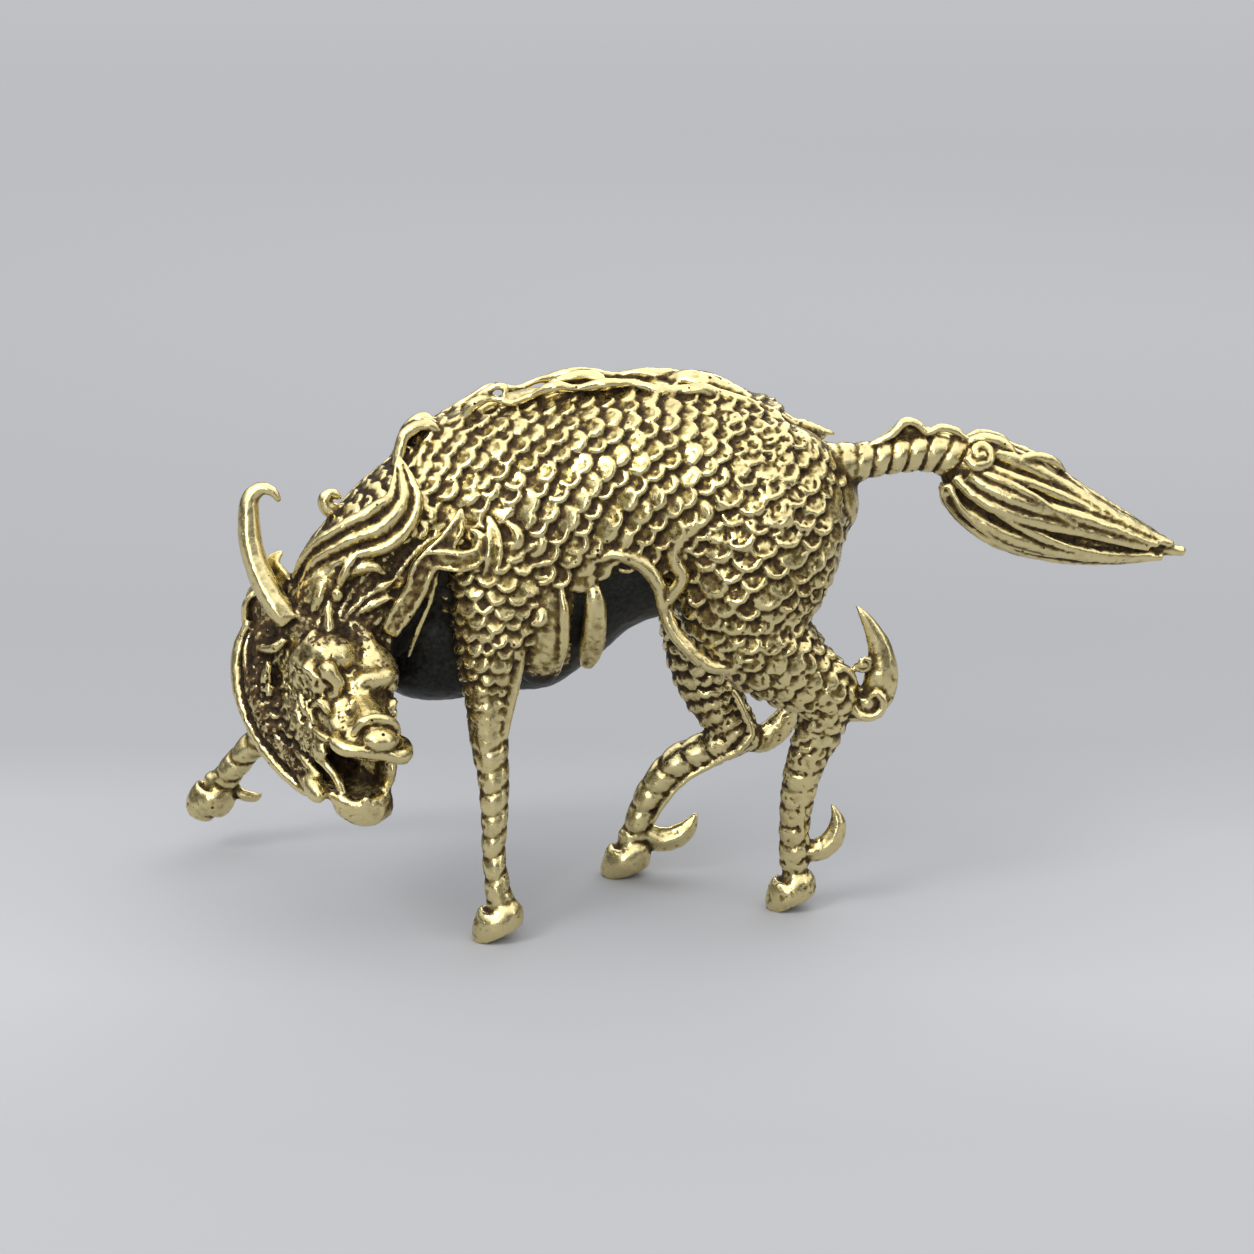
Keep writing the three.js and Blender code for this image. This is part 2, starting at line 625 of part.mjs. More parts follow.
// The mane: one broad grooved leaf behind the horn, smaller leaves round it, a forked ribbon
// lock at the shoulder, and plainer locks on the far side.
function mane() {
  const broadLeaf = [
    [-36.9, -8.6, 35.4, 1.0],
    [-35.0, -9.6, 37.8, 1.7],
    [-31.8, -10.4, 39.8, 2.1],
    [-28.6, -10.2, 41.2, 2.5],
    [-26.8, -9.2, 43.2, 2.0],
    [-26.9, -7.8, 45.4, 1.1],
    [-27.4, -6.8, 47.2, 0.25],
  ];
  const forkedRibbon = [
    [-29.0, -9.4, 29.4, 0.8],
    [-26.9, -9.8, 32.6, 1.0],
    [-26.1, -9.7, 35.4, 0.9],
    [-24.7, -9.2, 37.6, 0.9],
    [-22.6, -8.6, 39.1, 0.9],
    [-21.8, -8.5, 40.7, 0.65],
    [-21.4, -8.5, 42.3, 0.25],
  ];
  const lowerRibbon = [
    [-23.6, -8.8, 37.2, 0.6],
    [-24.6, -9.0, 33.6, 0.65],
    [-25.6, -8.6, 30.0, 0.6],
    [-26.6, -8.0, 26.6, 0.35],
  ];
  const withersLock = [
    [-24.6, -4.6, 46.8, 1.0],
    [-26.8, -4.2, 48.2, 1.1],
    [-28.0, -3.2, 49.4, 0.6],
    [-27.4, -2.2, 50.2, 0.2],
  ];
  const crestLock = [
    [-28.0, -4.4, 44.6, 1.1],
    [-30.2, -4.6, 45.4, 1.1],
    [-31.6, -4.0, 46.6, 0.6],
    [-31.2, -3.4, 47.4, 0.2],
  ];
  const napeLock = [
    [-31.0, -5.6, 41.0, 1.2],
    [-33.2, -5.4, 41.8, 1.1],
    [-34.6, -4.8, 42.8, 0.7],
    [-34.0, -4.2, 43.4, 0.2],
  ];
  const pollLock = [
    [-36.0, -7.0, 33.6, 0.9],
    [-38.8, -7.4, 35.6, 1.0],
    [-39.4, -7.0, 37.0, 0.8],
    [-38.8, -6.8, 38.2, 0.25],
  ];
  const cheekLock = [
    [-33.6, -9.8, 33.2, 0.8],
    [-32.8, -10.6, 35.4, 1.0],
    [-31.0, -10.8, 37.0, 0.9],
    [-29.4, -10.4, 37.6, 0.25],
  ];
  const outerThroatLock = [
    [-40.6, -6.6, 30.2, 1.3],
    [-42.4, -6.8, 28.0, 1.7],
    [-42.4, -8.0, 24.6, 2.0],
    [-40.8, -10.0, 21.6, 1.8],
    [-38.4, -12.0, 19.4, 1.4],
    [-35.8, -14.0, 17.8, 0.6],
  ];
  const innerThroatLock = [
    [-38.6, -5.6, 28.8, 1.6],
    [-40.0, -6.4, 24.6, 2.0],
    [-38.8, -8.2, 21.2, 1.6],
    [-36.4, -10.2, 18.8, 0.5],
  ];
  const smallLocks = [withersLock, crestLock, napeLock, pollLock, cheekLock];
  const throatLocks = [outerThroatLock, innerThroatLock];
  const farLocks = [broadLeaf, withersLock, crestLock];
  const shoulderCurls = [[-19.6, -9.2, 39.2], [-17.4, -9.0, 41.8]];
  return [
    lock(broadLeaf, [0, -1, 0.25], 8),
    ribbon(flattened(forkedRibbon, ribbonFlatness), 10),
    ribbon(lowerRibbon, 8),
    ...smallLocks.map((stations) => lock(stations, [-0.3, -1, 0.4])),
    ...throatLocks.map((stations) => lock(stations, [-0.7, -1, 0], 6)),
    ...farLocks.map((stations) => lock(mirrored(stations), [-0.3, 1, 0.4])),
    ...shoulderCurls.map((centre) => curl(centre, 1.15, 0.5)),
  ];
}

// The pair of ribbons that meet on each flank ahead of the thigh, and run on under its edge.
function flankRibbons() {
  const front = [
    [-9.4, -8.7, 37.0, 0.5],
    [-6.6, -8.9, 38.1, 0.6],
    [-4.2, -8.8, 37.2, 0.65],
    [-2.5, -8.6, 35.2, 0.65],
    [-1.9, -8.6, 33.0, 0.6],
    [-1.2, -8.8, 31.0, 0.6],
    [0.4, -9.4, 29.0, 0.6],
    [2.6, -9.6, 27.2, 0.55],
    [5.6, -9.2, 26.6, 0.4],
  ];
  const rear = [
    [1.9, -9.2, 41.5, 0.45],
    [0.1, -8.9, 40.0, 0.55],
    [-0.7, -8.8, 38.1, 0.6],
    [-0.4, -9.0, 36.0, 0.6],
    [-1.4, -8.7, 33.6, 0.55],
    [-1.7, -8.5, 31.6, 0.4],
  ];
  return [front, rear, mirrored(front)].map((stations) => ribbon(stations, 9));
}

// Two hanging plates under the chest on each side, like broad scales of the belly.
function bellyPlates() {
  const frontPlate = [
    [-12.1, -8.2, 34.4, 0.8],
    [-12.2, -8.4, 31.8, 1.6],
    [-12.6, -7.6, 28.6, 1.7],
    [-12.8, -6.4, 26.2, 1.3],
    [-12.7, -5.6, 24.8, 0.5],
  ];
  const rearPlate = [
    [-9.4, -8.4, 35.4, 0.8],
    [-9.2, -8.3, 32.8, 1.5],
    [-9.3, -7.3, 29.6, 1.5],
    [-9.5, -6.2, 27.0, 1.1],
    [-9.4, -5.6, 25.4, 0.4],
  ];
  const near = [frontPlate, rearPlate];
  return [
    ...near.map((stations) => lock(stations)),
    ...near.map((stations) => lock(mirrored(stations), [0, 1, 0])),
  ];
}

// A casting has no sealed hollows: the pockets that the joined forms close in are filled.
function outerSkin(figure) {
  return figure.decompose().reduce((skin, body) => (body.volume() > skin.volume() ? body : skin));
}

// The ground is cut off a little above height 0, which leaves a small flat under each hoof.
function trimmedSoles(figure) {
  const reach = 2 * figureLength;
  const ground = new THREE.BoxGeometry(reach, reach, reach);
  ground.translate(0, 0, soleTrim - reach / 2);
  return figure.subtract(solidOf(ground));
}

function figureGeometry() {
  const figure = trimmedSoles(outerSkin(join([
    ...trunk(),
    ...hindLegs(),
    ...forelegs(),
    ...hooves(),
    ...hooks(),
    ...backRidge(),
    ...tail(),
    ...head(),
    ...horn(),
    ...mane(),
    ...flankRibbons(),
    ...bellyPlates(),
  ])));
  const { vertProperties, triVerts } = figure.getMesh();
  const geometry = new THREE.BufferGeometry();
  geometry.setAttribute('position', new THREE.BufferAttribute(vertProperties, 3));
  geometry.setIndex(new THREE.BufferAttribute(triVerts, 1));
  return geometry;
}

// The figure stands with the middle of its plan at the origin and its soles at height 0.
function standing(geometry) {
  geometry.computeBoundingBox();
  const { min, max } = geometry.boundingBox;
  return geometry.translate(-(min.x + max.x) / 2, -(min.y + max.y) / 2, -min.z);
}

const brass = new THREE.MeshStandardMaterial({ color: brassColour, roughness: 0.34, metalness: 1 });
const qilin = new THREE.Mesh(standing(figureGeometry()), brass);
qilin.name = 'qilin_figure';

const group = new THREE.Group();
group.add(qilin);
export default group;
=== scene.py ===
"""Looks of a small qilin cast in one piece of brass, on a plain pale floor.

The casting is drawn in shares of its length, as its solid is, and turned to metres at the end. It
is made as the real one was: smooth flesh first, then scales, locks and features laid on, then one
skin poured over all of it, with the grain of the mould, and last the dark patina in its hollows.
Painted shade goes into its colour too: in sheltered places, on down-facing surfaces, under the
belly and in the creases beyond the scale rims, with a painted dark reflection on the shank sides.
"""

import logging
import math
from dataclasses import dataclass, field, fields
from enum import Enum
from typing import Callable, Sequence

import bpy
import numpy as np
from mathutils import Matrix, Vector
from mathutils.bvhtree import BVHTree
from mathutils.kdtree import KDTree


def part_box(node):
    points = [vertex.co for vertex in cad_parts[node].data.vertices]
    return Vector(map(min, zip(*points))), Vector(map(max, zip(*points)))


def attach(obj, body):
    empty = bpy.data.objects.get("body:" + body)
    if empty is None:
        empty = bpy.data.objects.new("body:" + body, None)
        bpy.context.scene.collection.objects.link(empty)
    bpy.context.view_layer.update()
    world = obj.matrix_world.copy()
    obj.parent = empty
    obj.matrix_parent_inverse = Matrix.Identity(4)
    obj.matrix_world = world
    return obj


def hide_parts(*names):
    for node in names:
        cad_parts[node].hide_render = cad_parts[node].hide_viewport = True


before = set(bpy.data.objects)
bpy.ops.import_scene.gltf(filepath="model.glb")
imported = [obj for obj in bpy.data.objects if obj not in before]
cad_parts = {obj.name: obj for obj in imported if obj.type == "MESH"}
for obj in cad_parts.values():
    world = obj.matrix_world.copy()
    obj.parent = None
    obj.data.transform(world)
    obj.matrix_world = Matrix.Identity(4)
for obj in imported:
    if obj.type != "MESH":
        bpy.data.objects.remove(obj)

log = logging.getLogger("qilin")

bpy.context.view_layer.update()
NODE = "qilin_figure"

# The box that the drawing fills, in shares. The ground is cut off at its lowest corner.
DRAWN_LOW = np.array([-52.607, -21.759, 0.497])
DRAWN_HIGH = np.array([50.05, 14.492, 54.431])

UP = (0.0, 0.0, 1.0)
NEAR = (0.0, -1.0, 0.0)
FAR = (0.0, 1.0, 0.0)

# Sizes of the mesh work, in shares.
FLESH_VOXEL = 0.34
SKIN_VOXEL = 0.17
FACET = 0.34
MOST_TRIANGLES = 196_000
MM_PER_METRE = 1000.0
OPEN = 1000.0

# The commonest kinds of node.
MATH = "ShaderNodeMath"
VECTOR_MATH = "ShaderNodeVectorMath"
MAP_RANGE = "ShaderNodeMapRange"

Station = Sequence[float]
Stations = Sequence[Station]
Relief = Callable[[np.ndarray, np.ndarray], np.ndarray]


class Section(Enum):
    """Outline of a form cut square to its length."""

    ROUND = "round"
    LEAF = "leaf with three ridges"
    CUP = "strip with two raised edges"
    BLADE = "blade with one keel"


def outline(section: Section, angle: np.ndarray) -> tuple[np.ndarray, np.ndarray]:
    """Gives the outline of a section as factors of its half sizes.

    Args:
        section: The kind of outline.
        angle: Angles around the section, from the face, in radians.

    Returns:
        The sideways and the outward factor at each angle.
    """
    side, out = np.sin(angle), np.cos(angle)
    face = np.clip(out, 0.0, 1.0)
    if section is Section.LEAF:
        ridge = (0.5 + 0.5 * np.cos(2 * math.pi * side / 0.8)) ** 0.55
        out = np.where(out > 0, face**0.45 * (0.38 + 0.62 * ridge), out)
    elif section is Section.CUP:
        rim = np.exp(-(((np.abs(side) - 0.78) / 0.17) ** 2))
        out = np.where(out > 0, face**0.35 * (0.72 + 0.4 * rim), out)
    elif section is Section.BLADE:
        out = np.where(out > 0, face * (1.0 - 0.35 * np.abs(side)) * 1.15, out)
    return side, out


@dataclass
class Shell:
    """A closed mesh of quads and triangles, in shares."""

    points: np.ndarray
    quads: np.ndarray
    tris: np.ndarray


def gathered(shells: Sequence[Shell]) -> Shell:
    """Lays several shells side by side in one."""
    starts = np.cumsum([0] + [len(shell.points) for shell in shells[:-1]])
    return Shell(
        np.vstack([shell.points for shell in shells]),
        np.vstack([shell.quads + start for shell, start in zip(shells, starts)]),
        np.vstack([shell.tris + start for shell, start in zip(shells, starts)]),
    )


def smooth_line(stations: Stations, count: int) -> np.ndarray:
    """Draws a centripetal Catmull-Rom curve through the stations.

    Args:
        stations: Rows of x, y, z and sizes.
        count: How many places to return.

    Returns:
        Rows like the stations, at equal steps along the curve.
    """
    knots = np.asarray(stations, float)
    ends = np.vstack([2 * knots[0] - knots[1], knots, 2 * knots[-1] - knots[-2]])
    gaps = np.sqrt(np.maximum(np.linalg.norm(np.diff(ends[:, :3], axis=0), axis=1), 1e-6))
    step = np.linspace(0, 1, 24, endpoint=False)[:, None]
    pieces = []
    for place in range(len(knots) - 1):
        before, start, end, after = ends[place : place + 4]
        gap0, gap1, gap2 = gaps[place : place + 3]
        leave = (start - before) / gap0 - (end - before) / (gap0 + gap1) + (end - start) / gap1
        arrive = (end - start) / gap1 - (after - start) / (gap1 + gap2) + (after - end) / gap2
        leave, arrive = leave * gap1, arrive * gap1
        squared = 3 * (end - start) - 2 * leave - arrive
        cubed = 2 * (start - end) + leave + arrive
        pieces.append(start + leave * step + squared * step**2 + cubed * step**3)
    fine = np.vstack(pieces + [knots[-1:]])
    run = np.linalg.norm(np.diff(fine[:, :3], axis=0), axis=1)
    run = np.concatenate([[0.0], np.cumsum(run)])
    at = np.linspace(0, run[-1], count)
    return np.column_stack([np.interp(at, run, column) for column in fine.T])


@dataclass
class Loft:
    """A closed form drawn through stations of x, y, z, half height and half width, in shares.

    The half height is measured toward `up`, and the relief is added outward, in shares.
    """

    stations: Stations
    up: Station = UP
    section: Section = Section.ROUND
    relief: Relief | None = None
    facet: float = FACET
    bulge: float = 0.6

    def _length(self) -> float:
        """Length of the line of stations."""
        knots = np.asarray(self.stations, float)[:, :3]
        return float(np.linalg.norm(np.diff(knots, axis=0), axis=1).sum())

    def _girth(self) -> float:
        """Largest half size of the form."""
        return float(np.abs(np.asarray(self.stations, float)[:, 3:]).max())

    def surface(self, rings: int, sides: int, turn: np.ndarray | None = None) -> np.ndarray:
        """Lays a net of points on the form.

        Args:
            rings: Steps along the form.
            sides: Steps around it.
            turn: Angle added on each ring, in radians.

        Returns:
            Points as rings x sides x 3, then the centre and the tangent of each ring as two more.
        """
        line = smooth_line(self.stations, rings)
        tangent = np.gradient(line[:, :3], axis=0)
        tangent /= np.linalg.norm(tangent, axis=1)[:, None]
        across = np.cross(tangent, np.asarray(self.up, float))
        across /= np.linalg.norm(across, axis=1)[:, None]
        raised = np.cross(across, tangent)
        tall = line[:, 3]
        wide = line[:, 4] if line.shape[1] > 4 else tall
        angle = np.linspace(0, 2 * math.pi, sides, endpoint=False)[None, :].repeat(rings, 0)
        if turn is not None:
            angle = angle + turn[:, None]
        side, out = outline(self.section, angle)
        offset = (
            raised[:, None] * (tall[:, None] * out)[..., None]
            + across[:, None] * (wide[:, None] * side)[..., None]
        )
        if self.relief is not None:
            along = np.linspace(0, 1, rings)[:, None].repeat(sides, 1)
            reach = np.maximum(np.linalg.norm(offset, axis=2), 1e-6)
            offset *= (1 + self.relief(along, angle) / reach)[..., None]
        net = line[:, None, :3] + offset
        return np.concatenate([net, line[:, None, :3], tangent[:, None]], axis=1)

    def shell(self) -> Shell:
        """Skins the form, with a rounded cap at each end."""
        sides = int(np.clip(2 * math.pi * self._girth() / self.facet, 8, 150))
        rings = int(np.clip(self._length() / self.facet, 5, 260))
        net = self.surface(rings, sides)
        centre, tangent = net[:, -2], net[:, -1]
        net = net[:, :-2]
        lean = np.radians([30.0, 60.0, 80.0])
        caps = []
        for end, way in ((0, -1.0), (-1, 1.0)):
            reach = self.bulge * self.stations[end][3]
            ring = net[end] - centre[end]
            steps = [
                centre[end] + ring * math.cos(a) + way * tangent[end] * reach * math.sin(a)
                for a in lean
            ]
            caps.append((np.array(steps), centre[end] + way * tangent[end] * reach))
        whole = np.concatenate([caps[0][0][::-1], net, caps[1][0]])
        count = len(whole)
        corner = np.arange(count * sides).reshape(count, sides)
        after = np.roll(corner, -1, axis=1)
        quads = np.stack([corner[:-1], after[:-1], after[1:], corner[1:]], axis=2).reshape(-1, 4)
        first, last = count * sides, count * sides + 1
        near_cap = np.column_stack([np.full(sides, first), after[0], corner[0]])
        far_cap = np.column_stack([np.full(sides, last), corner[-1], after[-1]])
        points = np.vstack([whole.reshape(-1, 3), caps[0][1], caps[1][1]])
        return Shell(points, quads, np.vstack([near_cap, far_cap]))


def ball(centre: Station, radii: Station) -> Shell:
    """A ball or an egg with its long ways along the three axes."""
    x, y, z = centre
    tall, wide, long = radii[2], radii[1], radii[0]
    lean = np.radians([-60, -30, 0, 30, 60])
    stations = [(x + long * math.sin(a), y, z, tall * math.cos(a), wide * math.cos(a)) for a in lean]
    return Loft(stations, facet=0.25, bulge=0.25).shell()


def ring(centre: Station, radius: float, thick: float, facing: Station = NEAR) -> Shell:
    """A closed curl of round section, lying across `facing`."""
    normal = Vector(facing).normalized()
    first = normal.orthogonal().normalized()
    second = normal.cross(first)
    turns, sides = 28, 12
    points = []
    for turn in np.linspace(0, 2 * math.pi, turns, endpoint=False):
        out = first * math.cos(turn) + second * math.sin(turn)
        for side in np.linspace(0, 2 * math.pi, sides, endpoint=False):
            reach = radius + thick * math.cos(side)
            points.append(Vector(centre) + out * reach + normal * thick * math.sin(side))
    corner = np.arange(turns * sides).reshape(turns, sides)
    after = np.roll(corner, -1, axis=0)
    quads = np.stack([corner, after, np.roll(after, -1, 1), np.roll(corner, -1, 1)], 2)
    return Shell(np.array([tuple(p) for p in points]), quads.reshape(-1, 4), np.empty((0, 3), int))


def spiral(centre: Station, reach: float, thick: float, facing: Station, start: float) -> Shell:
    """A lock that curls up on itself by one turn and a half, flat across `facing`.

    Args:
        centre: Middle of the curl, in shares.
        reach: Radius where the curl starts.
        thick: Half width of the lock.
        facing: The way that the flat of the curl looks.
        start: Angle where it starts, in degrees from level.

    Returns:
        The closed curl.
    """
    normal = Vector(facing).normalized()
    level = Vector(UP).cross(normal)
    level = (level if level.length > 0.1 else Vector((1, 0, 0))).normalized()
    high = normal.cross(level)
    stations = []
    for step in range(15):
        share = step / 14
        turn = math.radians(start + 500 * share)
        radius = reach * (1 - 0.86 * share)
        place = Vector(centre) + (level * math.cos(turn) + high * math.sin(turn)) * radius
        wide = thick * (1 - 0.45 * share)
        stations.append((*(place + normal * 0.5 * share), wide * 0.9, wide))
    return Loft(stations, up=facing, facet=0.2).shell()


def side_on(stations: Stations) -> Stations:
    """Swaps half depth and half width, for a limb drawn from its flank."""
    return [(*station[:3], station[4], station[3]) for station in stations]


def flattened(stations: Stations, flatness: float) -> Stations:
    """Gives stations with one size a thinner half height."""
    return [(*station[:3], station[3] * flatness, station[3]) for station in stations]


WITHERS = -20.0
NECK_BEND = 0.45


def mirrored(stations: Stations) -> Stations:
    """Moves stations to the other flank, about a middle that bends with the neck."""
    moved = []
    for x, y, z, *rest in stations:
        middle = min(0.0, NECK_BEND * (x - WITHERS))
        moved.append((x, 2 * middle - y, z, *rest))
    return moved


def lock(stations: Stations, facing: Station, section: Section, flatness: float = 0.55) -> Shell:
    """A lock of hair or a strap whose face looks toward `facing`."""
    return Loft(flattened(stations, flatness), up=facing, section=section, facet=0.24).shell()


def banded(count: float, depth: float, arch: float = 0.4, start: float = 0.0) -> Relief:
    """Narrow arched grooves round a limb, a number of them between its two ends."""

    def groove(along: np.ndarray, angle: np.ndarray) -> np.ndarray:
        """Depth of the nearest groove at a place on the limb."""
        place = np.mod(count * along - arch * np.cos(angle - 0.5), 1.0)
        present = np.clip((along - start) * 8.0, 0.0, 1.0) if start else 1.0
        return present * depth * (0.3 - np.exp(-(((place - 0.5) / 0.11) ** 2)))

    return groove


@dataclass
class Strands:
    """Thin locks of hair that lie side by side on a form and sway a little along it."""

    form: Loft
    angles: Sequence[float]
    span: tuple[float, float] = (0.0, 1.0)
    sway: float = 0.15
    wide: float = 0.4
    proud: float = 0.0
    seed: int = 1

    def shells(self) -> list[Shell]:
        """Makes one closed strand at each angle, in degrees from the form's `up`."""
        chance = np.random.default_rng(self.seed)
        rings = 61
        along = np.linspace(0, 1, rings)
        made = []
        for angle in self.angles:
            phase, amount = chance.uniform(0, 2 * math.pi), self.sway * chance.uniform(0.5, 1.3)
            turn = math.radians(angle) + amount * np.sin(phase + 5.0 * along)
            net = self.form.surface(rings, 1, turn)
            first = int(rings * (self.span[0] + chance.uniform(0.0, 0.06)))
            last = int((rings - 1) * (self.span[1] - chance.uniform(0.0, 0.06)))
            wide = self.wide * chance.uniform(0.75, 1.25)
            steps = range(first, last + 1, 4)
            out = net[:, 0] - net[:, -2]
            out /= np.maximum(np.linalg.norm(out, axis=1), 1e-6)[:, None]
            stations = []
            for step in steps:
                part = (step - first) / max(1, last - first)
                size = wide * (0.35 + 0.65 * math.sin(math.pi * min(1.0, 0.25 + 0.75 * part)) ** 0.7)
                place = net[step, 0] + out[step] * self.proud
                stations.append((*place, size * 0.9, size))
            if len(stations) > 2:
                made.append(Loft(stations, up=tuple(out[(first + last) // 2]), facet=0.2).shell())
        return made


@dataclass
class ScaleRows:
    """Staggered places for scales on one form, each leaning toward the tail or the ground."""

    form: Loft
    pitch: float
    lean: Station
    clear_below: float = -2.0
    worn: float = 0.0
    size: float = 1.0
    lower_edge: Stations = ((-60.0, -60.0), (60.0, -60.0))
    row_gap: float = 0.7
    side: float = 0.0

    def places(self) -> tuple[np.ndarray, ...]:
        """Lays the places out.

        Returns:
            Points, leans, widths and wear of the scales.
        """
        knots = np.asarray(self.form.stations, float)
        length = float(np.linalg.norm(np.diff(knots[:, :3], axis=0), axis=1).sum())
        girth = 2 * math.pi * math.sqrt(np.mean(knots[:, 3:] ** 2))
        rows = max(3, round(length / (self.pitch * self.row_gap)))
        around = max(5, round(girth / self.pitch))
        stagger = np.where(np.arange(rows) % 2 == 0, 0.0, math.pi / around)
        net = self.form.surface(rows, around, stagger)
        centre, net = net[:, -2], net[:, :-2]
        out = net - centre[:, None]
        rise = out[..., 2] / np.maximum(np.linalg.norm(out, axis=2), 1e-6)
        edge = np.asarray(self.lower_edge)
        kept = (rise > self.clear_below) & (net[..., 2] > np.interp(net[..., 0], edge[:, 0], edge[:, 1]))
        kept &= net[..., 1] * self.side >= 0
        gap = np.linalg.norm(net - np.roll(net, 1, axis=1), axis=2) * self.size
        points = net[kept]
        return points, np.tile(self.lean, (len(points), 1)), gap[kept], np.full(len(points), self.worn)


@dataclass
class Trunk:
    """The barrel of the body, deep at the chest and drawn in at the loin, and the arched neck."""

    barrel: Stations = (
        (-28, -0.8, 31.8, 5.8, 4.6), (-24.5, -0.5, 33.4, 11.8, 7.2), (-19.5, 0, 35.7, 14.6, 8.8),
        (-14.5, 0, 37.9, 13.7, 9.3), (-9.5, 0, 40, 12.3, 9.2), (-4.5, 0, 41.3, 11.7, 9.2),
        (0.2, 0, 41.6, 11.3, 9.3), (5, 0, 41.1, 11, 9.4), (9.6, 0, 40.6, 9.6, 9),
        (12.6, 0, 41.2, 7.4, 7.2), (15, 0, 42, 3.8, 3.6),
    )
    nape: Stations = (
        (-17, -0.4, 39.2, 11, 8), (-22.4, -1.2, 38, 10.2, 7.6), (-26.6, -2.8, 36.6, 8.9, 6.6),
        (-30.2, -4.8, 34.2, 7.5, 5.8), (-33.4, -6.6, 30.6, 6.3, 5.2), (-35.2, -7.8, 26.8, 5, 5),
    )

    brisket: Stations = (
        (-29, -2, 28.6, 3.6, 3.6), (-27.2, -1.6, 28, 6, 5.6), (-24, -1, 28.4, 7, 6.6),
        (-20.6, -0.6, 29.4, 7, 7),
    )
    scaled_above: Stations = (
        (-28, 50), (-26, 44.5), (-23, 43), (-19, 40.5), (-16.5, 38), (-15.8, 26),
        (-11, 26), (-10.5, 34.4), (-8, 36.4), (-6, 37.2), (-3.4, 37.6), (-2.2, 33),
        (0.5, 29), (3, 28),
    )
    far_scaled_above: Stations = ((-28, 40), (-20, 33), (-6, 35), (-2.2, 33), (3, 28))
    chest_fold: Stations = (
        (-12.6, -7.6, 36.4, 1.4), (-13.2, -8.6, 33.4, 2.1), (-13.5, -8.6, 30.2, 2.4),
        (-13.8, -7.6, 27, 2.3), (-14.2, -6, 24.9, 1.7),
    )

    def flesh(self) -> list[Shell]:
        """Smooth body and neck."""
        made = [Loft(self.barrel).shell(), Loft(self.nape).shell(), Loft(self.brisket).shell()]
        fold = flattened(self.chest_fold, 0.55)
        return made + [Loft(fold, up=NEAR).shell(), Loft(mirrored(fold), up=NEAR).shell()]

    def carving(self) -> list[Shell]:
        """Wavy hair that lies on both sides of the neck."""
        neck = Loft(self.nape)
        near = Strands(neck, np.linspace(-46, -130, 26), (0.3, 1.0), 0.2, 0.2, 0.0, 5)
        far = Strands(neck, np.linspace(20, 120, 20), (0.3, 1.0), 0.2, 0.3, 0.0, 6)
        return near.shells() + far.shells()

    def scales(self) -> list[ScaleRows]:
        """Scales over back and flanks, none on the smooth belly."""
        lean = (0.8, 0.0, -0.6)
        above_fold = self.scaled_above[:5] + self.scaled_above[7:]
        along_nape = ((-60.0, -60.0), (-25.0, -60.0), (-24.0, 60.0), (60.0, 60.0))
        barrel, nape = Loft(self.barrel), Loft(self.nape)
        return [
            ScaleRows(barrel, 1.9, lean, lower_edge=above_fold, side=-1.0),
            ScaleRows(barrel, 1.9, lean, lower_edge=self.far_scaled_above, side=1.0),
            ScaleRows(nape, 1.5, (0.8, 0.0, 0.3), clear_below=0.5, worn=0.4, lower_edge=along_nape),
        ]


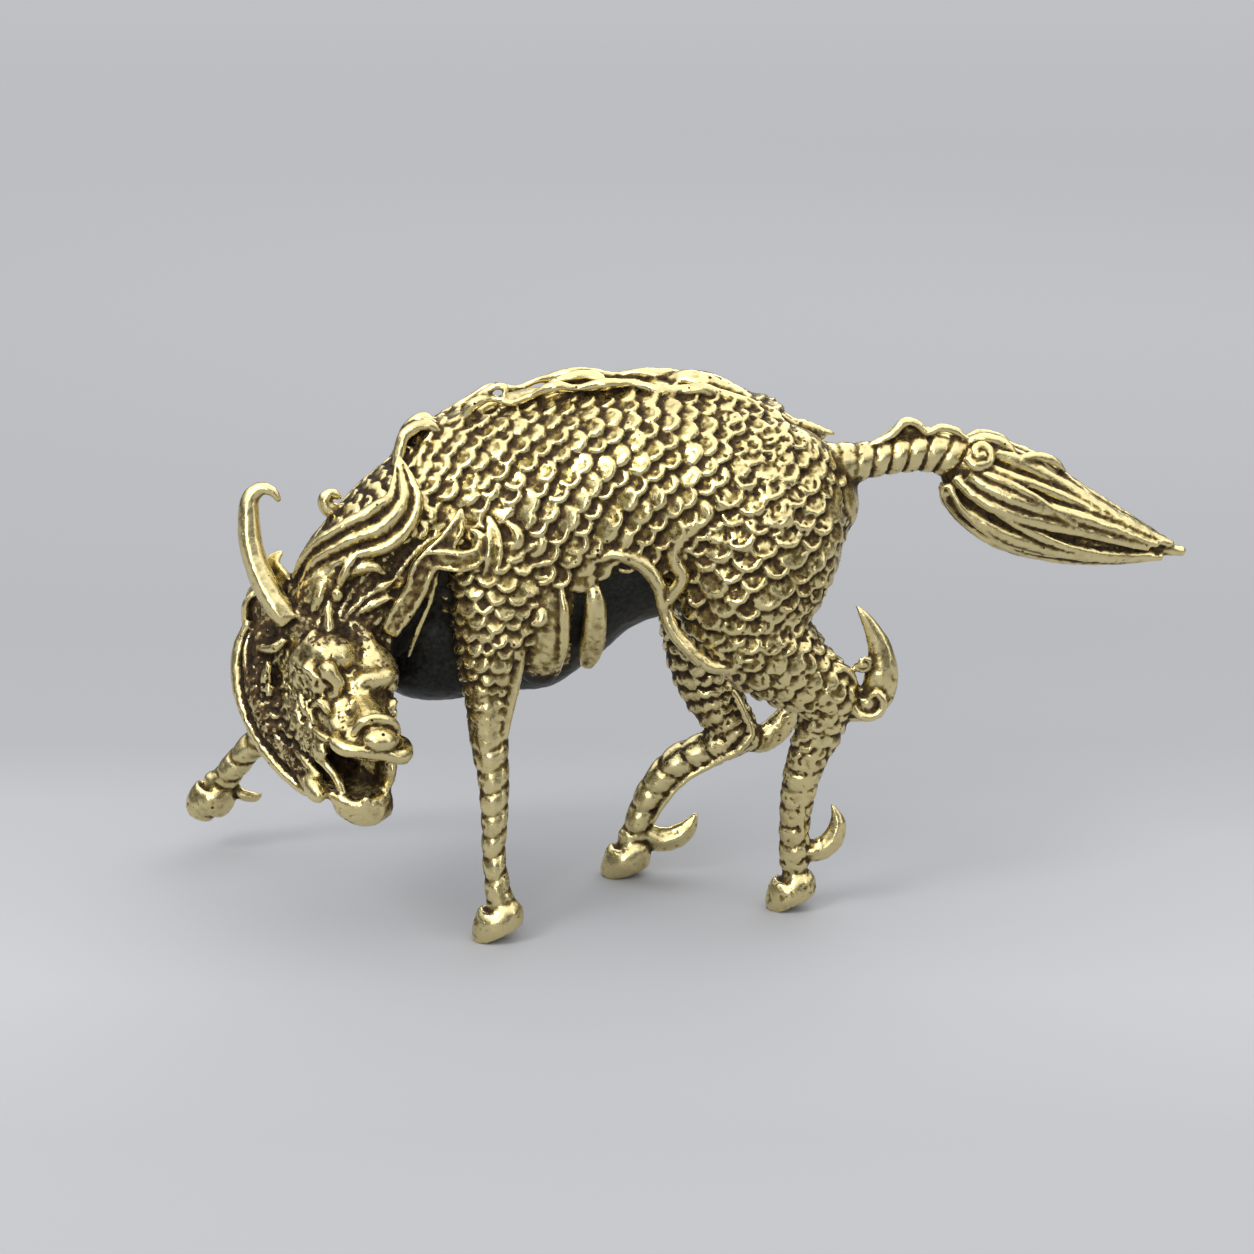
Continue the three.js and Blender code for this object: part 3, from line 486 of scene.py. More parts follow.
@dataclass
class Legs:
    """Scaled thighs and shoulders, and banded shanks below them."""

    near_thigh: Stations = (
        (10.4, -2.6, 47.2, 4.4, 3.8), (8.8, -4.2, 42.6, 6.8, 5.2), (7.2, -5, 37.6, 7.4, 5.6),
        (5.8, -5.4, 32.6, 6.6, 5.2), (5.2, -5.6, 28.6, 4.6, 4.2),
    )
    near_run: Stations = (
        (3.8, -6, 31.6, 4, 3.8), (7.4, -6.2, 28.8, 4.7, 4), (11.2, -6.1, 25.6, 3.9, 3.2),
        (14.6, -5.9, 23.4, 3, 2.6),
    )
    near_hind_shank: Stations = (
        (15, -5.8, 24.4, 2.5, 2.4), (13.9, -5.6, 20.6, 2.2, 2), (12.5, -5.3, 16.9, 2, 1.7),
        (11.6, -5, 13, 1.75, 1.5), (11.3, -4.7, 9, 1.5, 1.35), (11.3, -4.6, 5.2, 1.45, 1.35),
    )
    far_thigh: Stations = (
        (9.2, 2.8, 46, 5, 4), (7, 4.4, 39.8, 7, 5.2), (4.8, 5.4, 34, 6.6, 5),
        (3, 6.2, 28.4, 5.2, 4), (2.4, 6.4, 23.6, 3.7, 3.2), (3.4, 6.3, 19.8, 3, 2.7),
        (5.8, 6.1, 16, 2.3, 2.1),
    )
    far_hind_shank: Stations = (
        (7, 6.1, 15.8, 2, 2), (3.4, 5.9, 14.1, 1.9, 1.8), (0, 5.8, 12.6, 1.8, 1.7),
        (-2.3, 5.6, 10.3, 1.6, 1.5), (-3.7, 5.5, 7.8, 1.4, 1.35), (-4.6, 5.4, 4.9, 1.45, 1.35),
    )
    near_shoulder: Stations = (
        (-17.3, -3.6, 43.4, 4.6, 3.2), (-17.7, -6.4, 37.4, 5, 3.9), (-18.3, -8.2, 31.4, 3.9, 3.4),
        (-18.8, -9.1, 27.6, 3, 2.8), (-19, -10.1, 22.4, 1.8, 1.8),
    )
    near_fore_shank: Stations = (
        (-19, -9.8, 25, 2.2, 2.2), (-18.8, -10.5, 20, 1.85, 1.8), (-18.4, -11.2, 16.2, 1.5, 1.5),
        (-18.3, -11.9, 12.6, 1.3, 1.3), (-18.4, -12.4, 9.2, 1.1, 1.15), (-18.1, -12.9, 6.2, 1.2, 1.2),
        (-17.8, -13.1, 4.2, 1.35, 1.3),
    )
    far_shoulder: Stations = (
        (-22.6, 2.6, 37.4, 5.2, 3.6), (-25.6, 5.6, 30.4, 4.4, 3.8), (-29.6, 8, 25, 3.3, 3.2),
        (-33.6, 9.4, 21.4, 2.6, 2.6),
    )
    far_fore_shank: Stations = (
        (-32.8, 9.2, 22, 2.7, 2.6), (-37.4, 10.4, 18.6, 2.1, 2), (-42.2, 11.4, 14.8, 1.6, 1.6),
        (-45.5, 12, 11.6, 1.4, 1.4), (-47.9, 12.4, 8.6, 1.4, 1.4),
    )
    near_tendon: Stations = (
        (12.6, -7.4, 27.9, 0.3), (13.8, -7.4, 26.8, 0.42), (15.2, -7.2, 26.3, 0.45),
        (16.3, -6.8, 25.7, 0.42), (16.8, -6.6, 24.7, 0.4), (16.5, -6.6, 23.2, 0.42),
        (15.9, -6.6, 21.7, 0.42), (15, -6.6, 20.4, 0.4), (14.8, -6.4, 19.3, 0.34),
        (14.1, -6.2, 17.4, 0.36), (13, -5.9, 14.8, 0.34), (12.4, -5.7, 12.4, 0.3),
        (12.2, -5.6, 9.6, 0.3), (12.6, -5.4, 7.6, 0.3),
    )
    near_inner_tendon: Stations = (
        (14.2, -7.6, 22.6, 0.22), (14, -7.3, 19.8, 0.24), (13.1, -7, 16.8, 0.24),
        (12.2, -6.4, 13.8, 0.24), (11.9, -6.1, 10.4, 0.22), (12, -5.9, 8.2, 0.2),
    )
    fore_tendon: Stations = (
        (-15.6, -9.4, 29.4, 0.4), (-16, -9.8, 27.5, 0.7), (-16.6, -10.3, 25.2, 0.8),
        (-17.1, -10.8, 22.6, 0.7), (-17.3, -11.2, 20.4, 0.4),
    )
    far_tendon: Stations = (
        (4.6, 4.4, 21.8, 0.3), (6.4, 4.2, 18.6, 0.42), (7.2, 4.2, 16.2, 0.5), (6, 4.1, 14.4, 0.42),
        (3.4, 4.3, 12.8, 0.34), (0.8, 4.4, 11.2, 0.3), (-1.4, 4.4, 8.8, 0.28), (-2.8, 4.4, 6.4, 0.24),
    )
    band_depth: float = 0.24

    def _limb(self, stations: Stations, bands: float = 0.0, start: float = 0.0) -> Loft:
        """One length of a leg, banded or plain."""
        relief = banded(bands, self.band_depth, start=start) if bands else None
        return Loft(side_on(stations), up=NEAR, relief=relief)

    def flesh(self) -> list[Shell]:
        """Smooth thighs and shoulders."""
        plain = (
            self.near_thigh, self.near_run, self.far_thigh, self.near_shoulder, self.far_shoulder,
            self.near_hind_shank[:3], self.near_fore_shank[:4], self.far_hind_shank[:2],
        )
        return [self._limb(stations).shell() for stations in plain]

    def carving(self) -> list[Shell]:
        """Banded shanks."""
        shanks = (
            (self.near_hind_shank, 10.0, 0.38),
            (self.far_hind_shank, 7.0, 0.1),
            (self.near_fore_shank, 10.0, 0.16),
            (self.far_fore_shank, 8.0, 0.1),
        )
        tendons = (self.near_tendon, self.near_inner_tendon, self.fore_tendon, self.far_tendon)
        made = [self._limb(*shank).shell() for shank in shanks]
        return made + [lock(stations, NEAR, Section.ROUND, 0.9) for stations in tendons]

    def scales(self) -> list[ScaleRows]:
        """Scales of the haunches and shoulders, with their rims to the ground."""
        down = (0.25, 0.0, -1.0)
        back = (0.7, 0.0, -0.7)
        ahead = (-0.5, 0.0, -0.9)
        return [
            ScaleRows(self._limb(self.near_thigh), 2.0, down, worn=0.4, size=1.1),
            ScaleRows(self._limb(self.near_run), 1.9, back, worn=0.8),
            ScaleRows(self._limb(self.far_thigh), 1.9, down, worn=1.0),
            ScaleRows(self._limb(self.near_shoulder), 1.75, down, worn=0.8),
            ScaleRows(self._limb(self.far_shoulder), 1.8, ahead, worn=1.0),
            ScaleRows(self._limb(self.near_hind_shank[:3]), 1.7, down, worn=1.0),
        ]


@dataclass(frozen=True)
class Hoof:
    """A flared hoof, cut flat below by a sole that rises toward the heel."""

    place: Station
    toe: float
    heel_rise: float
    height: float = 5.0

    def shell(self) -> Shell:
        """Skins the hoof and presses it flat on its sole."""
        x, y, z = self.place
        stations = (
            (x + 0.1, y, z + self.height, 1.25, 1.2),
            (x + 0.1, y, z + self.height * 0.86, 1.3, 1.25),
            (x + 0.3, y, z + self.height * 0.68, 2.0, 1.8),
            (x + self.toe * 0.2, y, z + self.height * 0.44, 2.4, 2.1),
            (x + self.toe * 0.9, y, z + self.height * 0.16, 2.0, 1.9),
            (x + self.toe * 1.1, y, z - 0.5, 1.3, 1.3),
        )
        shell = Loft(side_on(stations), up=NEAR).shell()
        hinge = x + self.toe - 1.9
        floor = z - 0.1 + (shell.points[:, 0] - hinge) * math.tan(math.radians(self.heel_rise))
        shell.points[:, 2] = np.maximum(shell.points[:, 2], floor)
        return shell


@dataclass
class Hooves:
    """The four hooves, three on the ground and one raised."""

    near_fore: Hoof = Hoof((-17.8, -13.2, 0.0), -1.0, 24.0)
    near_hind: Hoof = Hoof((11.3, -4.5, 0.0), -1.0, 24.0)
    far_hind: Hoof = Hoof((-5.2, 5.3, 0.0), -1.2, 18.0)
    far_fore: Hoof = Hoof((-48.9, 12.6, 4.9), -1.5, -18.0, 3.8)

    def carving(self) -> list[Shell]:
        """All four."""
        return [hoof.shell() for hoof in (self.near_fore, self.near_hind, self.far_hind, self.far_fore)]


@dataclass
class Hooks:
    """The hook of flame at each hock and the hooked dew claw at the fetlock of every leg but the near
    foreleg.
    """

    near_hock: Stations = (
        (15.4, -5.8, 22.2, 1.1), (17.2, -5.8, 21.9, 1.5), (19, -5.8, 23, 1.7),
        (19.5, -5.8, 25.4, 1.65), (19.3, -5.8, 27.8, 1.2), (18.5, -5.8, 29.9, 0.8),
        (17.5, -5.8, 31.5, 0.42), (16.9, -5.8, 32.2, 0.12),
    )
    near_fetlock: Stations = (
        (11.4, -4.7, 6.8, 1.1), (13.7, -4.7, 6.7, 1.2), (15.1, -4.7, 7.8, 1.15), (15.6, -4.7, 9.5, 0.85),
        (15.3, -4.7, 10.8, 0.42), (14.9, -4.7, 11.5, 0.12),
    )
    far_hock: Stations = (
        (5.8, 6.2, 15.2, 1.3), (8.5, 6.2, 15, 1.5), (10.3, 6.2, 16.4, 1.4), (11.3, 6.2, 18.6, 0.9),
        (11.2, 6.2, 20.6, 0.3),
    )
    far_fetlock: Stations = (
        (-4.4, 5.4, 5.4, 1.3), (-2.2, 5.4, 4.3, 1.35), (-0.4, 5.4, 4.6, 1.3), (0.9, 5.4, 5.6, 0.95),
        (1.7, 5.4, 7, 0.3),
    )
    raised_fetlock: Stations = (
        (-47.9, 12.4, 8.2, 0.8), (-45.9, 12.4, 6.8, 0.65), (-44.6, 12.4, 6.6, 0.5),
        (-44, 12.4, 7, 0.2),
    )
    near_lobe: Stations = (
        (16.7, -6.9, 23.2, 0.3), (17, -7.1, 21.8, 0.42), (18.1, -7.2, 21.2, 0.45),
        (19.3, -7.2, 21.7, 0.42), (19.7, -7.1, 22.9, 0.4), (18.9, -7.1, 23.7, 0.34),
        (18.2, -7, 23.2, 0.26),
    )
    flatness: float = 0.7

    def carving(self) -> list[Shell]:
        """The hooks, with a raised lobe at the root of the largest."""
        smooth = (self.near_hock, self.far_hock)
        keeled = (self.near_fetlock, self.far_fetlock, self.raised_fetlock)
        made = [lock(stations, NEAR, Section.ROUND, self.flatness) for stations in smooth]
        made += [lock(stations, NEAR, Section.BLADE, self.flatness) for stations in keeled]
        made.append(lock(self.near_lobe, NEAR, Section.ROUND, 0.8))
        made.append(ball((18.2, -6.5, 22.5), (1.0, 0.7, 0.9)))
        return made + [spiral((17.7, -6.4, 26.6), 0.85, 0.34, NEAR, 200.0)]


@dataclass
class Ridge:
    """The ruffled ribbon of hair along the back, with a rolled edge on each side."""

    crest: Stations = (
        (-25.9, 0, 46.2, 0.8, 1.1), (-22.7, 0, 48.4, 0.95, 1.5), (-18.9, 0, 50.4, 1.05, 1.7),
        (-12, 0, 51.9, 1.05, 1.9), (-4.2, 0, 52.4, 1.1, 2), (-0.3, 0, 52.1, 1, 2.1),
        (2.9, 0, 51.4, 1, 2.1), (6.1, 0, 50.5, 0.95, 1.9), (9.4, 0, 49.2, 0.8, 1.3),
        (12.2, 0, 47.8, 0.5, 0.8), (14, 0, 47, 0.3, 0.4),
    )
    near_edge: Stations = (
        (-27.4, -2, 48.2, 0.30), (-25.6, -1.7, 49.9, 0.36), (-24.3, -2.2, 49, 0.36),
        (-21.6, -2, 49.9, 0.62), (-20.1, -2.3, 51.6, 0.62), (-18.6, -1.9, 52, 0.36),
        (-16.7, -2.4, 51.6, 0.36), (-14.8, -2, 52.2, 0.36), (-12.4, -2.5, 53.2, 0.62),
        (-10.4, -2.1, 53, 0.36), (-7.6, -2.5, 53.5, 0.62), (-5, -2.2, 53.5, 0.36),
        (-1.9, -2.8, 52.8, 0.62), (-0.1, -2.4, 52.8, 0.62), (1.8, -2.7, 53, 0.62),
        (3.6, -2.4, 52.4, 0.62), (5.4, -2.7, 51.9, 0.62), (7.3, -2.2, 51.4, 0.36),
        (9.5, -1.9, 50.3, 0.36), (11.3, -1.5, 49, 0.38), (13.8, -1, 48, 0.3),
    )
    far_edge: Stations = (
        (-26.6, 1.2, 47.8, 0.3), (-24, 1.6, 49.4, 0.36), (-21.4, 1.5, 51, 0.36),
        (-18.6, 1.4, 52.6, 0.36), (-16.6, 1.6, 52.3, 0.36), (-14, 1.4, 53.2, 0.36),
        (-12.2, 0.9, 53.6, 0.62), (-10.4, 0.7, 54, 0.62), (-8.6, 0.6, 54, 0.5),
        (-7.6, 1, 53.8, 0.36), (-6.6, 1.4, 53.6, 0.36), (-4.6, 1, 53.9, 0.5),
        (-2.8, 0.8, 53.9, 0.62), (-0.8, 1, 53.7, 0.62), (1.2, 1.5, 53.4, 0.36), (3.4, 1.8, 52.8, 0.36),
        (6, 1.9, 51.8, 0.4), (8.6, 1.7, 50.6, 0.38), (11.2, 1.3, 49, 0.34), (13.4, 0.8, 48, 0.28),
    )
    withers_curl: Stations = (
        (-28, -2.2, 45.9, 0.3), (-27.6, -2.3, 47.6, 0.45), (-26.7, -2.2, 49.3, 0.55),
        (-25.1, -2, 50.2, 0.5), (-24.2, -2.2, 49.4, 0.42), (-24.6, -2.5, 48.3, 0.36),
        (-25.5, -2.5, 48.1, 0.3),
    )
    shoulder_curl: Stations = (
        (-21, -1.8, 51.2, 0.3), (-19.4, -1.7, 52.4, 0.45), (-18.2, -1.6, 53.1, 0.45),
        (-17.2, -1.9, 53, 0.36), (-17.4, -2.3, 52.2, 0.26),
    )
    crest_curl: Stations = (
        (-13.6, -1, 52.8, 0.3), (-11.6, -0.8, 53.7, 0.5), (-9.6, -0.6, 54, 0.62),
        (-8, -0.9, 53.7, 0.55), (-8.1, -1.5, 53, 0.4), (-9.2, -1.7, 52.9, 0.26),
    )
    loin_leaf: Stations = (
        (-1.6, 0.2, 53.5, 0.4), (0, -0.4, 53.9, 0.85), (2, -0.9, 53.7, 1.05),
        (4, -1.2, 53.1, 0.95), (5.8, -1.4, 52.3, 0.6), (6.9, -1.5, 51.6, 0.3),
    )
    croup_flame: Stations = (
        (10.4, -0.9, 49.6, 0.3), (12, -1, 49.2, 0.5), (13.6, -0.8, 48.6, 0.45),
        (14.8, -0.6, 48.2, 0.2),
    )

    def carving(self) -> list[Shell]:
        """The ribbon, its two rolled edges and the locks that curl up along it."""
        upward = (0.0, -0.75, 1.0)
        curls = (self.withers_curl, self.shoulder_curl, self.crest_curl, self.croup_flame)
        ruffle = banded(9, 0.3, 0.6)
        made = [
            Loft(self.crest, relief=ruffle).shell(),
            Loft(self.near_edge, facet=0.2).shell(),
            Loft(self.far_edge, facet=0.2).shell(),
            lock(self.loin_leaf, upward, Section.BLADE, 0.42),
        ]
        return made + [lock(stations, upward, Section.ROUND, 0.85) for stations in curls]


@dataclass
class Tail:
    """The banded tail and its fluted tuft, with curls where the tuft begins."""

    stem: Stations = (
        (12.6, 0, 44.2, 3.4, 3.2), (15.4, 0, 44.9, 2.3, 2.2), (18.2, 0, 45.5, 1.8, 1.8),
        (21.6, 0, 46.1, 1.8, 1.8), (24.8, 0, 46.3, 2, 1.9), (27.6, 0, 45.5, 2.2, 2),
    )
    tuft: Stations = (
        (26, 0, 45.9, 1.6, 1.4), (28.4, 0, 44, 3.9, 3.2), (32.3, 0, 41.7, 4.8, 4.4),
        (37.3, 0, 39.5, 4.1, 3.8), (42.3, 0, 37.9, 2.7, 2.6), (46.3, 0, 36.9, 1.3, 1.2),
        (49.2, 0, 36.3, 0.55, 0.55),
    )
    stem_flame: Stations = (
        (18.6, -0.8, 47.3, 0.3), (20.4, -0.9, 48.2, 0.42), (21.8, -0.8, 49.5, 0.5),
        (23, -0.8, 49.2, 0.42), (23.9, -1, 48.4, 0.36), (25, -1, 48.9, 0.42),
        (26.6, -0.9, 48.6, 0.42), (28, -0.9, 47.6, 0.3),
    )
    stem_web: Stations = (
        (18.6, 0, 46.6, 0.5, 0.4), (21.6, 0, 48, 1.1, 0.45), (24.4, 0, 47.8, 0.9, 0.5),
        (27.4, 0, 47.2, 0.9, 0.6),
    )
    ring_flame: Stations = (
        (27.6, -0.9, 47.2, 0.4), (28.8, -1, 47.9, 0.55), (30.4, -1.1, 47.8, 0.6),
        (31.7, -1.3, 47.2, 0.5), (32.4, -1.6, 46.3, 0.35),
    )
    tuft_flame: Stations = (
        (32.2, -2.2, 45, 0.3), (33, -2.1, 46, 0.45), (34.6, -1.9, 46.2, 0.5),
        (36.3, -1.6, 45.7, 0.48), (37.5, -1.4, 44.6, 0.2),
    )
    core_share: float = 0.84
    strand_angles: tuple[float, ...] = tuple(range(-176, 180, 21))
    root_angles: tuple[float, ...] = tuple(range(-166, 180, 42))

    def flesh(self) -> list[Shell]:
        """The stem of the tail where it leaves the rump."""
        return [Loft(self.stem[:3]).shell()]

    def carving(self) -> list[Shell]:
        """Stem, tuft, curls and the ball at the tip."""
        core = [(*row[:3], row[3] * self.core_share, row[4] * self.core_share) for row in self.tuft]
        tuft = Loft(core, facet=0.25)
        far_flame = [(x, -y, z, wide) for x, y, z, wide in self.ring_flame]
        long_hair = Strands(tuft, self.strand_angles, (0.06, 0.99), 0.16, 0.66, 0.3, 3)
        short_hair = Strands(tuft, self.root_angles, (0.04, 0.62), 0.3, 0.46, 0.75, 4)
        return [
            Loft(self.stem, relief=banded(9, 0.3, 0.4), facet=0.22).shell(),
            tuft.shell(),
            ball((49.4, 0, 36.3), (0.5, 0.55, 0.55)),
            spiral((28.9, -2.6, 46.6), 1.35, 0.6, (0.1, -1, 0.6), 200.0),
            spiral((26.0, -1.8, 42.6), 0.75, 0.34, (0.0, -1, -0.2), 80.0),
            Loft(self.stem_web, up=UP, facet=0.25).shell(),
            lock(self.stem_flame, (0, -1, 0.6), Section.ROUND, 0.8),
            lock(self.ring_flame, (0, -0.8, 1), Section.BLADE, 0.7),
            lock(self.tuft_flame, (0, -0.8, 1), Section.BLADE, 0.8),
            lock(far_flame, (0, 0.8, 1), Section.BLADE, 0.7),
        ] + long_hair.shells() + short_hair.shells()


@dataclass
class HeadFrame:
    """The head's own frame: x to the right cheek, y out of the muzzle, z up through the brow."""

    between_eyes: Station = (-31.7, -13.0, 27.1)
    muzzle_way: Station = (0.38, -0.874, -0.304)
    cheek_way: Station = (-0.896, -0.43, 0.115)

    def __post_init__(self) -> None:
        """Squares the three ways."""
        muzzle = np.array(self.muzzle_way) / np.linalg.norm(self.muzzle_way)
        brow = np.cross(self.cheek_way, muzzle)
        brow /= np.linalg.norm(brow)
        self.axes = np.array([np.cross(muzzle, brow), muzzle, brow])

    def place(self, stations: Stations) -> Stations:
        """Turns stations of the head to stations of the figure."""
        return [(*(np.array(self.between_eyes) + row[:3] @ self.axes), *row[3:]) for row in
                (np.asarray(station, float) for station in stations)]

    def seen(self, points: np.ndarray) -> np.ndarray:
        """Turns places of the figure to rows of side, ahead and above in the head's frame."""
        return ((points - np.array(self.between_eyes)) @ self.axes.T).T

    def way(self, vector: Station) -> Station:
        """Turns a direction of the head to one of the figure."""
        return tuple(np.asarray(vector, float) @ self.axes)


def other_cheek(stations: Stations) -> Stations:
    """Mirrors stations of the head to its other side."""
    return [(-side, *rest) for side, *rest in stations]


@dataclass
class Head:
    """The broad head: open mouth, rolled lip, round nose, drop-shaped eyes and a knotted brow."""

    turned: HeadFrame
    skull: Stations = (
        (0, -13, -3.4, 3.6, 3.4), (0, -9.6, -3.4, 6.2, 5), (0, -5.8, -3.6, 6, 5.2),
        (0, -2.4, -3, 4.6, 4.8), (0, 0.8, -2.5, 3.4, 4.2), (0, 4, -3.2, 2.1, 3.2),
        (0, 7, -3.3, 1.4, 2.8), (0, 8.6, -3.2, 1, 2.2),
    )
    jaw: Stations = (
        (0, -5, -7.6, 2.6, 4.3), (0, 0, -9, 1.9, 3.6), (-0.3, 5, -9.7, 1.3, 2.7),
        (-0.6, 8, -9.8, 1.4, 2.3), (-0.6, 9.2, -9.6, 1.1, 1.7),
    )
    cheek: Stations = (
        (3.3, -6.5, -4.6, 2.4, 2), (3.5, -3, -5.2, 2.4, 1.7), (3.3, 0.6, -5.6, 2.2, 1.4),
        (3, 3, -6.2, 1.9, 0.9),
    )
    forehead: Stations = (
        (0.4, -8, 1.4, 1.8, 2.8), (0.4, -5.2, 1.8, 2, 3.2), (0, -2.6, 1.2, 1.9, 3.2),
        (-0.2, 0.2, -0.2, 1.2, 2.6),
    )
    nose: Stations = (
        (0, 0.4, -0.4, 1, 1), (-0.1, 3.3, -0.8, 1.1, 1.2), (-0.2, 5.6, -0.8, 1.1, 1.4),
        (-0.2, 7.2, -0.9, 1.1, 1.6), (-0.2, 8.4, -1.2, 1, 1.6),
    )
    eye_drop: Stations = (
        (3.7, 0.9, 1.5, 0.5), (3.3, 1.3, 1.6, 0.95), (2.7, 1.9, 1.1, 0.7), (2.2, 2.2, 0.4, 0.66),
        (2.4, 2.4, -0.4, 0.46), (2.9, 2.4, -0.7, 0.25),
    )
    low_lobe: Stations = ((4.1, 0.1, -0.5, 0.4), (3.7, 0.9, -0.6, 0.6), (3.3, 1.7, -0.6, 0.45))
    eye_lobe: Stations = ((5, -0.4, 0.9, 0.5), (4.4, 0.4, 0.8, 0.62), (3.9, 1.1, 0.6, 0.5))
    temple_lobe: Stations = (
        (4.9, -2, -0.8, 0.45), (4.8, -2.7, -0.1, 0.85), (4.6, -2.8, 1.1, 0.62), (4.3, -2.6, 2.5, 0.42),
        (3.6, -3, 3.6, 0.34),
    )
    lid_point: Stations = ((4.1, 1.9, -2, 0.3), (3.6, 2.6, -1.3, 0.5), (3.2, 3.4, -1.9, 0.3))
    brow_strap: Stations = (
        (1.1, -5, 4.3, 0.5), (0.5, -4.2, 4.3, 0.75), (-0.2, -3.2, 3.9, 0.92), (-1, -2.2, 3.2, 1),
        (-1.6, -1.2, 2.5, 1), (-1.6, -0.2, 1.8, 0.95), (-0.9, 0.8, 1.1, 0.8), (0.2, 1.5, 0.6, 0.4),
    )
    far_brow: Stations = (
        (0.6, 2.2, 0.6, 0.5), (-0.4, 2.1, 0.9, 0.85), (-1.6, 1.9, 0.9, 1), (-2.8, 1.5, 1, 1),
        (-3.6, 0.9, 1.1, 0.8),
    )
    far_lid: Stations = (
        (-2.6, 2.2, 0.9, 0.34), (-3.5, 1.5, 1.3, 0.44), (-4.2, 0.9, 0.4, 0.42), (-4, 1.5, -0.8, 0.34),
    )
    nose_fold: Stations = (
        (2.1, 7.7, -1.7, 0.36), (1.9, 7.7, -0.9, 0.46), (1.5, 7.7, -0.2, 0.5), (0.8, 7.8, 0.15, 0.52),
        (-0.2, 7.9, 0.25, 0.52), (-1.2, 7.9, 0, 0.5), (-1.9, 7.9, -0.7, 0.46), (-2.3, 7.8, -1.5, 0.36),
    )
    upper_lip: Stations = (
        (2.9, 5.8, -2.9, 0.5), (3.3, 7.2, -2.9, 0.7), (2.7, 8.4, -2.8, 0.7), (1.8, 9, -2.6, 0.62),
        (0.7, 9.3, -2.6, 0.6), (-0.5, 9.4, -2.7, 0.6), (-1.7, 9.4, -3, 0.72), (-2.8, 8.9, -3.2, 0.88),
        (-3.5, 7.7, -3.1, 0.74), (-3.4, 6, -3.3, 0.5),
    )
    tusk: Stations = ((3.8, 2.8, -4.3, 0.36), (3.7, 4, -4, 0.44), (3.4, 5.2, -3.8, 0.36))
    jaw_lip: Stations = (
        (2.4, 5.2, -8.8, 0.5), (2.1, 7, -9, 0.7), (1.4, 8.3, -8.9, 0.8), (0.6, 9, -8.8, 0.7),
        (-0.1, 9.1, -8.4, 0.7), (-1, 8.9, -8.7, 0.8), (-2.1, 8.4, -8.7, 0.8), (-2.9, 7.4, -8.7, 0.6),
    )
    mouth_edge: Stations = (
        (3.7, 2.2, -5.4, 0.5), (3.5, 3.6, -6.4, 0.5), (2.9, 5.2, -6.7, 0.46), (2.3, 6.4, -7.2, 0.44),
        (1.9, 7.2, -8, 0.44), (1.7, 7.6, -8.8, 0.4),
    )
    jaw_edge: Stations = (
        (4.2, -1.4, -7.6, 0.4), (4.1, 0.6, -7.9, 0.5), (3.8, 2.8, -8, 0.52), (3.4, 5, -8, 0.45),
    )
    jaw_web: Stations = (
        (-2.9, 5.4, -4.2, 0.4), (-2.9, 5.8, -6, 0.32), (-2.7, 6.6, -7.6, 0.34),
        (-3, 7.4, -8.6, 0.45),
    )
    chin: Stations = (
        (-0.5, 5.6, -9.7, 1.5, 2.5), (-0.6, 7.8, -9.7, 1.7, 2.6), (-0.6, 9.2, -9.7, 1.4, 2),
    )
    beard_strap: Stations = (
        (6.4, -5.4, -1.8, 0.4), (6.5, -5.2, -3.2, 0.75), (6.3, -4.6, -5, 0.85),
        (6, -3.4, -6.6, 0.85), (5.6, -2.2, -7.8, 0.7), (5.2, -1.2, -8.6, 0.3),
    )
    fringe: tuple[Stations, ...] = (
        (
            (6.2, -7.4, -3.6, 0.4), (6.4, -6.2, -5.4, 0.8), (6.1, -4.8, -6.8, 0.7),
            (5.6, -3.9, -7.6, 0.3),
        ),
        (
            (6.4, -4.6, -6.2, 0.35), (6.2, -3.4, -7.6, 0.72), (5.8, -2.4, -8.7, 0.62),
            (5.3, -1.5, -9, 0.3),
        ),
        (
            (5.4, -1.7, -8.3, 0.35), (4.9, -0.4, -9.2, 0.6), (4.3, 0.9, -9.9, 0.5),
            (3.9, 1.7, -10.2, 0.25),
        ),
        (
            (4.4, 0.4, -9.8, 0.35), (3.9, 1.8, -10.3, 0.5), (3.6, 3.2, -10.4, 0.45),
            (3.3, 4.2, -10.3, 0.25),
        ),
    )
    ear: Stations = (
        (6.6, -12.2, 2, 0.3), (7.2, -12.2, 0.8, 0.36), (7, -11.5, -1.4, 0.38),
        (6.8, -10.3, -2.2, 0.42), (6.6, -7.4, -1.4, 0.46), (6.2, -5.2, 0, 0.46),
        (5.6, -4.8, 1.1, 0.36),
    )
    cheek_curls: Stations = (
        (5.1, -6.4, -2.6, 0.85), (5, -4.4, -1.6, 0.75), (5.4, -5, -4.6, 0.9), (4.9, -2.9, -3.6, 0.7),
        (4.7, -1.4, -5, 0.6), (5.2, -3.4, -6, 0.7),
    )
    cheek_flecks: tuple[Stations, ...] = (
        ((4.6, -0.6, -2.2, 0.22), (4.6, 0.4, -2.9, 0.36), (4.4, 1.2, -3.7, 0.2)),
        ((4.7, -0.4, -4, 0.22), (4.5, 0.8, -4.6, 0.4), (4.2, 2, -5, 0.22)),
        ((4.5, 0.9, -2.2, 0.2), (4.3, 1.9, -3, 0.36), (4.1, 2.6, -3.6, 0.2)),
        ((4.6, -1.2, -5.9, 0.22), (4.3, 0.4, -6.4, 0.42), (4, 2, -6.6, 0.25)),
        ((4.3, 2, -5.4, 0.2), (4, 2.9, -5.8, 0.34), (3.7, 3.4, -6.4, 0.22)),
    )

